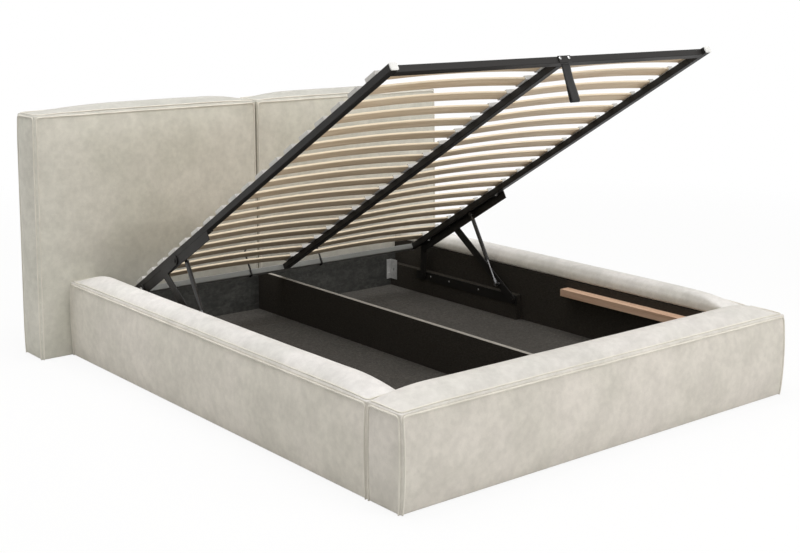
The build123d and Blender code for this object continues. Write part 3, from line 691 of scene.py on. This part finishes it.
def railTop(size):
    # round the top of a rail, open towards the soft inner edge
    near, inner = piping["inset"], size[0] * piping["innerShare"]
    return [(inner, near), (near, near), (near, size[1] - near), (inner, size[1] - near)]


def turnedLine(corners):
    # the line through the corners, each turned with the corner radius, in even steps
    corners = [np.array(corner, float) for corner in corners]
    stops = [corners[0]]
    for before, corner, after in zip(corners, corners[1:], corners[2:]):
        start, end = [corner + (other - corner) / np.linalg.norm(other - corner) * piping["cornerRadius"]
                      for other in (before, after)]
        for share in np.linspace(0, 1, piping["cornerSteps"]):
            stops.append((1 - share) ** 2 * start + 2 * share * (1 - share) * corner + share ** 2 * end)
    stops.append(corners[-1])
    line = [stops[0]]
    for one, two in zip(stops, stops[1:]):
        count = max(1, int(np.linalg.norm(two - one) / piping["spacing"]))
        line += [one + (two - one) * step / count for step in range(1, count + 1)]
    return np.array(line)


def faceCord(cord, size, shape, toWorld):
    # a cord lies on one face of the block: face axis, its end, corners on the face, the way out
    axis, end, corners, way = cord
    flat = turnedLine(corners)
    one, two = [k for k in range(3) if k != axis]
    shares = np.zeros((len(flat), 3))
    shares[:, axis] = end
    shares[:, one] = flat[:, 0] / size[one]
    shares[:, two] = flat[:, 1] / size[two]
    return toWorld(*shape(shares)) + np.array(way) * piping["stand"]


def closedMesh(name, points, faces):
    # the faces of the box of cells, all turned outwards
    mesh = bpy.data.meshes.new(name)
    mesh.from_pydata(points.tolist(), [], faces)
    bm = bmesh.new()
    bm.from_mesh(mesh)
    bmesh.ops.recalc_face_normals(bm, faces=bm.faces)
    bm.to_mesh(mesh)
    bm.free()
    return mesh


def swell(name, points, faces, held):
    # fills the block with air for a few frames, seams and hidden faces held
    look = padding
    work = added(name + "Air", closedMesh(name + "Air", points, faces))
    group = work.vertex_groups.new(name="held")
    for index, weight in enumerate(held):
        if weight > 0:
            group.add([index], float(weight), "REPLACE")
    cloth = work.modifiers.new("cloth", "CLOTH")
    for key, value in look["cloth"].items():
        setattr(cloth.settings, key, value)
    cloth.settings.effector_weights.gravity = 0
    cloth.collision_settings.use_collision = False
    cloth.collision_settings.use_self_collision = False
    cloth.point_cache.frame_start = 1
    cloth.point_cache.frame_end = look["frames"]
    for step in range(1, look["frames"] + 1):
        scene.frame_set(step)
    shown = work.evaluated_get(bpy.context.evaluated_depsgraph_get())
    moved = np.zeros(len(points) * 3)
    shown.data.vertices.foreach_get("co", moved)
    moved = moved.reshape(-1, 3) - points
    bpy.data.objects.remove(work)
    scene.frame_set(1)
    size = np.linalg.norm(moved, axis=1, keepdims=True)
    most = look["mostMove"]
    capped = most * np.tanh(size / most)
    print(name, "swelled by up to", round(float(size.max()) * 1000, 1), "mm, kept to", most * 1000)
    return points + moved / np.maximum(size, 1e-9) * capped


def wrinkled(points, faces, held, seamDistance):
    # slow dents all over, and short puckers near the seams
    look = padding
    mesh = closedMesh("wrinkleGuide", points, faces)
    normals = np.array([normal.vector for normal in mesh.vertex_normals])
    bpy.data.meshes.remove(mesh)
    amount = np.zeros(len(points))
    for index, point in enumerate(points):
        if held[index] > 0.5:
            continue
        place = Vector(point)
        slow = noise.fractal(place * look["wrinkleScale"], 1.0, 2.0, 3)
        quick = noise.noise(place * look["puckerScale"] + Vector(look["puckerPlace"]))
        near = math.exp(-seamDistance[index] / look["puckerReach"])
        amount[index] = look["wrinkle"] * slow + look["pucker"] * quick * near
    return points + normals * amount[:, None]


# painted light: how much lighter or darker each block's upright faces and its top are painted, standing in
# for how the light falls on them
pileLie = {
    "side": {"face": (1.04, 1.04, 1.04), "top": (1.08, 1.11, 1.20)},
    "foot": {"face": (1.0, 1.0, 1.01), "top": (0.96, 0.98, 1.04)},
    "head": {"face": (0.965, 0.99, 0.98), "top": (0.74, 0.765, 0.79)},
    "topFrom": 0.25,         # the normal's upward part where a face starts to count as top
    "topRun": 0.625,
}


def paintFaceLight(mesh, block):
    # painted light: faces get the block's painted brightness, blended towards the top's by how far the normal
    # points up
    faceLight = pileLie[block]
    upward = np.array([normal.vector.z for normal in mesh.vertex_normals])
    upward = np.clip((upward - pileLie["topFrom"]) / pileLie["topRun"], 0, 1)[:, None]
    tones = np.ones((len(upward), 4))
    tones[:, :3] = np.array(faceLight["face"]) * (1 - upward) + np.array(faceLight["top"]) * upward
    mesh.attributes.new("pileLie", "FLOAT_COLOR", "POINT").data.foreach_set("color", tones.ravel())


cordLines = {}


def buildBlock(block, names, rows, shape, toWorld, hidden, seams, size, cords):
    # the padded piece in place of its plain solid, and the lines of its cords
    name, node = names
    cordLines[name] = [faceCord(cord, size, shape, toWorld) for cord in cords]
    shares, faces = lattice(rows)
    points = toWorld(*shape(shares))
    distance = seams(shares)
    held = np.array([1.0 if hidden(*share) else 0.0 for share in shares])
    held = np.maximum(held, (distance < hair).astype(float))
    points = swell(name, points, faces, held)
    points = wrinkled(points, faces, held, distance)
    mesh = closedMesh(name, points, faces)
    # painted light on the block's upright faces and top, stored on its points
    paintFaceLight(mesh, block)
    mesh.shade_smooth()
    mesh.materials.append(finishes["velvet"])
    piece = added(name, mesh)
    smooth = piece.modifiers.new("smooth", "SUBSURF")
    smooth.levels = smooth.render_levels = 1
    smooth.boundary_smooth = "PRESERVE_CORNERS"
    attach(piece, "root")
    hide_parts(node)


outerHalf, innerHalf = 0.935, 0.802
footFront, footBack = -1.1805, -1.0205
railFoot, railHead = -1.0202, 1.0192
boardFront, boardBack = 1.0195, 1.1845
panelInner, panelOuter = 0.004, 1.068


def railRows(cells):
    low = lipShare * softSpacing(rails["lowCells"])
    up = np.concatenate([low, [lipShare + 0.006], np.linspace(lipShare + 0.02, 1, rails["topCells"])])
    return (*[softSpacing(count) for count in cells], up)


def railSeams(thickness, length):
    def distance(shares):
        across, along, up = shares.T
        wide, long = across * thickness, np.minimum(along, 1 - along) * length
        tall = (1 - up) * rails["seamHeight"]
        ends = np.where(across > nearOne, 1, np.minimum(np.hypot(long, tall), np.hypot(long, wide)))
        return np.minimum(np.hypot(wide, tall), ends)
    return distance


def buildSideRail(side, sign):
    thickness, length = outerHalf - innerHalf, railHead - railFoot
    size = (thickness, length, railTall)

    def shape(shares):
        return railShape(shares, thickness, length, rails["sideEndShare"])

    def toWorld(inward, along, height):
        return np.stack([sign * (outerHalf - inward), railFoot + along, height], axis=1)

    def hidden(across, along, up):
        behind = across > nearOne and up < rails["hiddenShare"]
        return along < hair or along > nearOne or up < hair or behind

    cords = [(0, 0, arch(size[1], size[2]), (sign, 0, 0)), (2, 1, railTop(size), (0, 0, 1))]
    buildBlock("side", (f"{side}SideRail", f"{side}_side_rail"), railRows(rails["sideCells"]), shape, toWorld,
               hidden, railSeams(thickness, length), size, cords)


def buildFootRail():
    thickness, length = footBack - footFront, 2 * outerHalf
    size = (thickness, length, railTall)

    def shape(shares):
        inward, along, height = railShape(shares, thickness, length, rails["footEndShare"])
        across, share, up = shares.T
        # the ends fill out too, and the set-back is only behind the lining board
        power = rails["facePower"]
        puff = rails["endReach"] * np.sin(math.pi * across) ** power * np.sin(math.pi * up) ** power
        along = along - puff * (share < hair) + puff * (share > nearOne)
        fromEnd = np.minimum(share, 1 - share) * length
        behind = (across > nearOne) & (inward < thickness - rails["boardSetBack"] + hair)
        atEnd = fromEnd < outerHalf - innerHalf - rails["setBackMargin"]
        inward = np.where(behind & atEnd, thickness, inward)
        inward = np.where(behind & (inward < thickness - hair), thickness - rails["footSetBack"], inward)
        return inward, along, height

    def toWorld(inward, along, height):
        return np.stack([along - outerHalf, footFront + inward, height], axis=1)

    def hidden(across, along, up):
        atEnd = min(along, 1 - along) * length < rails["hiddenEnd"]
        return up < hair or (across > nearOne and (up < rails["hiddenShare"] or atEnd))

    cords = [(0, 0, arch(size[1], size[2]), (0, -1, 0)), (2, 1, railTop(size), (0, 0, 1)),
             (1, 0, arch(size[0], size[2]), (-1, 0, 0)), (1, 1, arch(size[0], size[2]), (1, 0, 0))]
    buildBlock("foot", ("footRail", "foot_rail"), railRows(rails["footCells"]), shape, toWorld, hidden,
               railSeams(thickness, length), size, cords)


def buildHeadboardPanel(side, sign):
    width, depth = panelOuter - panelInner, boardBack - boardFront
    size = (width, depth, headboard["seamHeight"] - blockBase)

    def shape(shares):
        return headboardShape(shares, width, depth)

    def toWorld(wide, deep, height):
        return np.stack([sign * (panelInner + wide), boardFront + deep, height], axis=1)

    def hidden(across, back, up):
        low = up * headboard["seamHeight"] < headboard["boardHeight"]
        return up < hair or across < hair or (low and across < headboard["boardShare"] and back < hair)

    def seams(shares):
        across, back, up = shares.T
        wide, deep = np.minimum(across, 1 - across) * width, np.minimum(back, 1 - back) * depth
        tall = (1 - up) * headboard["seamHeight"]
        return np.minimum(np.minimum(np.hypot(wide, deep), np.hypot(deep, tall)), np.hypot(wide, tall))

    near, wide, deep = piping["inset"], width - piping["inset"], depth - piping["inset"]
    ring = [(width / 2, near), (near, near), (near, deep), (wide, deep), (wide, near), (width / 2, near)]
    cords = [(1, 0, arch(size[0], size[2]), (0, -1, 0)), (1, 1, arch(size[0], size[2]), (0, 1, 0)),
             (2, 1, ring, (0, 0, 1)), (0, 1, arch(size[1], size[2]), (sign, 0, 0))]
    rows = [softSpacing(count) for count in headboard["cells"]]
    buildBlock("head", (f"{side}HeadboardPanel", f"headboard_panel_{side}"), rows, shape, toWorld, hidden,
               seams, size, cords)


buildFootRail()
for sideName, sideSign in sideNames:
    buildSideRail(sideName, sideSign)
    buildHeadboardPanel(sideName, sideSign)
print("padded blocks ready:", len(cordLines))


def newTree(name, values):
    # one named input for each value, then the finish
    tree = bpy.data.node_groups.new(name, "GeometryNodeTree")
    kinds = {label: "Int" if isinstance(value, int) else "Float" for label, value in values.items()}
    for label, kind in {"Geometry": "Geometry", **kinds, "Material": "Material"}.items():
        tree.interface.new_socket(label, in_out="INPUT", socket_type="NodeSocket" + kind)
    tree.interface.new_socket("Geometry", in_out="OUTPUT", socket_type="NodeSocketGeometry")
    return tree, tree.nodes.new("NodeGroupInput").outputs


def closeTree(tree, shape, given):
    plain = grow(tree, "RealizeInstances", {0: shape})
    plain = grow(tree, "SetMaterial", {"Geometry": plain, "Material": given["Material"]})
    addNode(tree, "NodeGroupOutput", {0: plain}, family="")


def grown(name, guide, tree, values, finish, body):
    # runs the tree on a guide mesh and keeps the result as a plain piece
    work = added(name + "Guide", guide)
    modifier = work.modifiers.new("make", "NODES")
    modifier.node_group = tree
    values = {**values, "Material": finishes[finish]}
    for item in tree.interface.items_tree:
        if item.in_out == "INPUT" and item.name in values:
            modifier[item.identifier] = values[item.name]
    bpy.context.view_layer.update()
    mesh = bpy.data.meshes.new_from_object(work.evaluated_get(bpy.context.evaluated_depsgraph_get()))
    bpy.data.objects.remove(work)
    mesh.name = name
    piece = added(name, mesh)
    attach(piece, body)
    print(name, "made with", len(mesh.polygons), "faces")
    return piece


cordInputs = {
    "Cord Radius": piping["cordRadius"],
    "Waviness": piping["waviness"],
    "Wave Scale": piping["waveScale"],
}


def makePipingTree():
    tree, given = newTree("coveredCord", cordInputs)
    line = grow(tree, "MeshToCurve", {0: given[0]})
    waves = addNode(tree, "TexNoise", {"Scale": given["Wave Scale"], "Detail": 2.0}).outputs["Color"]
    centred = vectorMaths(tree, "SUBTRACT", waves, {1: (0.5, 0.5, 0.5)})
    wavy = vectorMaths(tree, "SCALE", centred, {"Scale": given["Waviness"]})
    placed = grow(tree, "SetPosition", {"Geometry": line, "Offset": wavy})
    ring = grow(tree, "CurvePrimitiveCircle", {"Resolution": 10, "Radius": given["Cord Radius"]})
    swept = grow(tree, "CurveToMesh", {"Curve": placed, "Profile Curve": ring, "Fill Caps": True})
    closeTree(tree, grow(tree, "SetShadeSmooth", {"Geometry": swept}), given)
    return tree


pipingTree = makePipingTree()
for blockName, lines in cordLines.items():
    cordPoints, cordEdges = [], []
    for line in lines:
        cordEdges += [(len(cordPoints) + k, len(cordPoints) + k + 1) for k in range(len(line) - 1)]
        cordPoints += [tuple(point) for point in line]
    cordGuide = bpy.data.meshes.new(blockName + "CordGuide")
    cordGuide.from_pydata(cordPoints, cordEdges, [])
    grown(blockName + "Piping", cordGuide, pipingTree, cordInputs, "piping", "root")
print("piping ready")

slats = {
    "Inner Half": 0.008,
    "Outer Half": 0.755,
    "Bow": 0.012,
    "Width": 0.053,
    "Thickness": 0.008,
    "Edge Radius": 0.0018,
    "Base": 0.002,
    "First": 0.110,
    "Pitch": 0.10647,
    "Rows": 18,
    "Side": 1.0,
    "Stray": 0.0012,
    "Seed": 7,
}
slatSteps = 25
frameFoot = (0, -0.9125, 1.3205)  # the middle of the lifted frame's foot end


def toLiftedFrame():
    # frame coordinates: x across, y from foot to head along the frame, z out of its top
    return Matrix.Translation(frameFoot) @ Matrix.Rotation(-liftTilt, 4, "X")


def makeSlatTree():
    tree, given = newTree("bowedSlats", slats)

    def product(first, second):
        return maths(tree, "MULTIPLY", first, second)

    def total(first, second):
        return maths(tree, "ADD", first, second)

    def difference(first, second):
        return maths(tree, "SUBTRACT", first, second)

    # the bowed middle line of one slat
    inner, outer = [product(given[name], given["Side"]) for name in ("Inner Half", "Outer Half")]
    middle = product(total(inner, outer), 0.5)
    reach = product(difference(outer, inner), 0.5)
    start, end = [made(tree, "CombineXYZ", {"X": place}) for place in (inner, outer)]
    line = grow(tree, "CurvePrimitiveLine", {"Start": start, "End": end})
    fine = grow(tree, "ResampleCurve", {"Curve": line, "Count": slatSteps})
    spot = addNode(tree, "SeparateXYZ", {0: grow(tree, "InputPosition")})
    share = maths(tree, "DIVIDE", difference(spot.outputs["X"], middle), reach)
    arched = product(difference(1.0, product(share, share)), given["Bow"])
    rise = total(total(given["Base"], product(given["Thickness"], 0.5)), arched)
    up = made(tree, "CombineXYZ", {"Z": rise})
    arc = grow(tree, "SetPosition", {"Geometry": fine, "Offset": up})
    aimed = grow(tree, "SetCurveNormal", {0: arc, "Normal": (0, 0, 1)}, mode="FREE")
    # its section, marked where it turns to the edge
    flat = grow(tree, "CurvePrimitiveQuadrilateral", {
        "Width": given["Thickness"], "Height": given["Width"]})
    soft = grow(tree, "FilletCurve", {"Curve": flat, "Count": 3, "Radius": given["Edge Radius"]},
                mode="POLY")
    where = addNode(tree, "SeparateXYZ", {0: grow(tree, "InputPosition")})
    aside = made(tree, "Math", {0: where.outputs["Y"]}, operation="ABSOLUTE")
    depth = difference(product(given["Width"], 0.5), aside)
    edge = made(tree, "MapRange", {0: depth, 1: 0.0, 2: given["Edge Radius"], 3: 1.0, 4: 0.0})
    marked = grow(tree, "StoreNamedAttribute", {
        "Geometry": soft, "Name": "edgeShare", "Value": edge})
    slat = grow(tree, "CurveToMesh", {"Curve": aimed, "Profile Curve": marked, "Fill Caps": True})
    smooth = grow(tree, "SetShadeSmooth", {
        "Geometry": slat, "Selection": True, "Shade Smooth": True})
    # the row of slats, each a little astray
    first, pitch = [made(tree, "CombineXYZ", {"Y": given[name]}) for name in ("First", "Pitch")]
    rows = grow(tree, "MeshLine", {
        "Count": given["Rows"], "Start Location": first, "Offset": pitch})
    stray = made(tree, "RandomValue", {"Seed": given["Seed"]}, "FunctionNode", data_type="FLOAT_VECTOR")
    centred = vectorMaths(tree, "SUBTRACT", stray, {1: (0.5, 0.5, 0.5)})
    only = vectorMaths(tree, "MULTIPLY", centred, {1: (0.4, 1, 0)})
    shift = vectorMaths(tree, "SCALE", only, {"Scale": given["Stray"]})
    spread = grow(tree, "SetPosition", {"Geometry": rows, "Offset": shift})
    placed = grow(tree, "InstanceOnPoints", {"Points": spread, "Instance": smooth})
    closeTree(tree, placed, given)
    return tree


slatTree = makeSlatTree()
for sideName, sign in sideNames:
    guide = bpy.data.meshes.new(f"{sideName}SlatGuide")
    values = {**slats, "Side": float(sign), "Seed": slats["Seed"] + sign}
    slatSet = grown(f"{sideName}Slats", guide, slatTree, values, "birch", "slat_frame")
    slatSet.data.transform(toLiftedFrame())
    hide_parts(f"{sideName}_slats")
print("slats ready")

# the head's radius and height are set again for each kind of screw
screws = {
    "Head Radius": 0.0055,
    "Head Height": 0.003,
    "Top Share": 0.55,
    "Rim Share": 0.45,
    "Sides": 20,
    "Cross Width": 0.0011,
    "Cross Depth": 0.0016,
    "Most Turn": 3.14,
    "Seed": 3,
}
# how far out a corner bracket's screw has to be to go through the flange on the side board
flangeFrom = {"head": 0.768, "foot": 0.797}


def islands(node):
    # each fastener of a node as its own set of points
    bm = bmesh.new()
    bm.from_mesh(nodes[node].data)
    bmesh.ops.remove_doubles(bm, verts=bm.verts, dist=hair)
    bm.verts.ensure_lookup_table()
    seen, groups = set(), []
    for start in bm.verts:
        if start.index in seen:
            continue
        stack, group = [start], []
        seen.add(start.index)
        while stack:
            vertex = stack.pop()
            group.append(vertex.co[:])
            for edge in vertex.link_edges:
                other = edge.other_vert(vertex)
                if other.index not in seen:
                    seen.add(other.index)
                    stack.append(other)
        groups.append(np.array(group))
    bm.free()
    return groups


def makeScrewTree():
    tree, given = newTree("crossHeadScrews", screws)

    def product(first, second):
        return maths(tree, "MULTIPLY", first, second)

    def raised(shape, height):
        place = made(tree, "CombineXYZ", {"Z": height})
        return grow(tree, "Transform", {0: shape, "Translation": place})

    topRadius = product(given["Head Radius"], given["Top Share"])
    rimHeight = product(given["Head Height"], given["Rim Share"])
    rim = grow(tree, "MeshCylinder", {
        "Vertices": given["Sides"], "Radius": given["Head Radius"], "Depth": rimHeight})
    domeHeight = maths(tree, "SUBTRACT", given["Head Height"], rimHeight)
    dome = grow(tree, "MeshCone", {
        "Vertices": given["Sides"], "Side Segments": 3, "Radius Top": topRadius,
        "Radius Bottom": given["Head Radius"], "Depth": domeHeight})
    head = addNode(tree, "MeshBoolean", family="GeometryNode", operation="UNION", solver="EXACT")
    tree.links.new(raised(rim, product(rimHeight, 0.5)), head.inputs["Mesh 2"])
    tree.links.new(raised(dome, rimHeight), head.inputs["Mesh 2"])
    cut = head.outputs[0]
    for long in ("X", "Y"):
        size = {"X": given["Cross Width"], "Y": given["Cross Width"], "Z": product(given["Cross Depth"], 2.0)}
        size[long] = product(topRadius, 1.5)
        bar = grow(tree, "MeshCube", {"Size": made(tree, "CombineXYZ", size)})
        cutter = addNode(tree, "MeshBoolean", {"Mesh 1": cut}, "GeometryNode", operation="DIFFERENCE",
                         solver="EXACT")
        tree.links.new(raised(bar, given["Head Height"]), cutter.inputs["Mesh 2"])
        cut = cutter.outputs[0]
    outward = grow(tree, "InputNamedAttribute", {0: "outward"}, data_type="FLOAT_VECTOR")
    aim = made(tree, "AlignRotationToVector", {"Vector": outward}, "FunctionNode", axis="Z")
    turn = addNode(tree, "RandomValue", {"Seed": given["Seed"], 2: 0.0, 3: given["Most Turn"]},
                   "FunctionNode", data_type="FLOAT").outputs[1]
    spin = made(tree, "AxisAngleToRotation", {"Axis": (0, 0, 1), "Angle": turn}, "FunctionNode")
    both = made(tree, "RotateRotation", {0: aim, 1: spin}, "FunctionNode", rotation_space="LOCAL")
    placed = grow(tree, "InstanceOnPoints", {"Points": given[0], "Instance": cut, "Rotation": both})
    closeTree(tree, placed, given)
    return tree


def screwPiece(name, node, outwardOf, radius, height, finish, body="root"):
    # a head with a cross slot on each fastener of the node, level with the solid's own head
    places, ways = [], []
    for group in islands(node):
        centre = (group.min(0) + group.max(0)) / 2
        way = np.array(outwardOf(centre), float)
        way /= np.linalg.norm(way)
        top = (group @ way).max()
        places.append(centre + way * (top - centre @ way - height))
        ways.append(way)
    guide = bpy.data.meshes.new(name + "Guide")
    guide.from_pydata([tuple(place) for place in places], [], [])
    layer = guide.attributes.new("outward", "FLOAT_VECTOR", "POINT")
    layer.data.foreach_set("vector", np.array(ways, dtype=np.float32).ravel())
    piece = grown(name, guide, screwTree, {**screws, "Head Radius": radius, "Head Height": height},
                  finish, body)
    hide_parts(node)


def plateWay(centre):
    return (-math.copysign(1, centre[0]), 0, 0)


def bracketWay(centre):
    # screws through the flange on a side board point inwards in x, the others in y
    if abs(centre[0]) > flangeFrom["head" if centre[1] > 0 else "foot"]:
        return plateWay(centre)
    return (0, -math.copysign(1, centre[1]), 0)


def strapWay(centre):
    return (0, -math.cos(liftTilt), math.sin(liftTilt))


screwTree = makeScrewTree()
screwPiece("bracketScrews", "bracket_screws", bracketWay, 0.0045, 0.0025, "zinc")
screwPiece("basePlateScrews", "base_plate_screws", plateWay, 0.0055, 0.0035, "nickel")
screwPiece("strapScrews", "strap_screws", strapWay, 0.0055, 0.003, "nickel", "slat_frame")
print("screws ready")

strap = {
    "width": 0.038,
    "thickness": 0.002,
    "length": 0.137,
    "opening": 0.009,
    "side": 0.004,
    "hangFrom": (0.022, -0.0277),     # along the frame and out of its top
    "joinedShare": 0.36,
    "tightShare": 0.55,
    "sway": 0.0008,
    "swayScale": 38,
    "curl": 0.0004,
    "steps": 24,
    "turnSteps": 13,
    "columns": 6,
}


def strapLoop():
    # down along the strap, round the end and up again: distance along and from the middle
    half = strap["opening"] / 2 + strap["thickness"] / 2
    tight = strap["thickness"] * strap["tightShare"]
    run = strap["length"] - half - strap["thickness"] / 2
    path = []
    for step in range(strap["steps"] + 1):
        share = step / strap["steps"]
        apart = np.clip((share - strap["joinedShare"]) / (1 - strap["joinedShare"]), 0, 1)
        apart = apart * apart * (3 - 2 * apart)
        path.append((share * run, tight + (half - tight) * apart))
    angles = np.linspace(0, math.pi, strap["turnSteps"])[1:-1]
    turned = [(run + half * math.sin(angle), half * math.cos(angle)) for angle in angles]
    return path + turned + [(along, -gap) for along, gap in reversed(path)]


def makeStrap():
    top = toLiftedFrame() @ Vector((strap["side"], *strap["hangFrom"]))
    points = np.array([vertex.co for vertex in nodes["pull_strap"].data.vertices])
    lowest = points[points[:, 2] < points[:, 2].min() + 0.004]
    down = Vector((0, lowest[:, 1].mean() - top.y, lowest[:, 2].mean() - top.z)).normalized()
    aside = Vector((0, -down.z, down.y))
    bm = bmesh.new()
    uv = bm.loops.layers.uv.new("weave")
    columns = strap["columns"]
    grid, travelled, last = [], 0.0, None
    for along, gap in strapLoop():
        sway = strap["sway"] * math.sin(along * strap["swayScale"])
        base = top + down * along + aside * (gap + sway)
        travelled += 0 if last is None else (base - last).length
        last = base
        ring = []
        for column in range(columns + 1):
            share = column / columns - 0.5
            curl = strap["curl"] * (1 - (2 * share) ** 2)
            place = base + Vector((share * strap["width"], 0, 0)) + aside * curl
            ring.append((bm.verts.new(place), (column / columns * strap["width"], travelled)))
        grid.append(ring)
    for one, two in zip(grid, grid[1:]):
        for k in range(columns):
            corners = (one[k], one[k + 1], two[k + 1], two[k])
            face = bm.faces.new([corner[0] for corner in corners])
            for loopCorner, corner in zip(face.loops, corners):
                loopCorner[uv].uv = corner[1]
    bmesh.ops.recalc_face_normals(bm, faces=bm.faces)
    mesh = bpy.data.meshes.new("pullStrap")
    bm.to_mesh(mesh)
    bm.free()
    mesh.shade_smooth()
    mesh.materials.append(finishes["webbing"])
    piece = added("pullStrap", mesh)
    wall = piece.modifiers.new("wall", "SOLIDIFY")
    wall.thickness = strap["thickness"]
    wall.offset = 0
    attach(piece, "strap_body")
    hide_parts("pull_strap")
    print("strap of", round(travelled * 1000), "mm hung")


makeStrap()
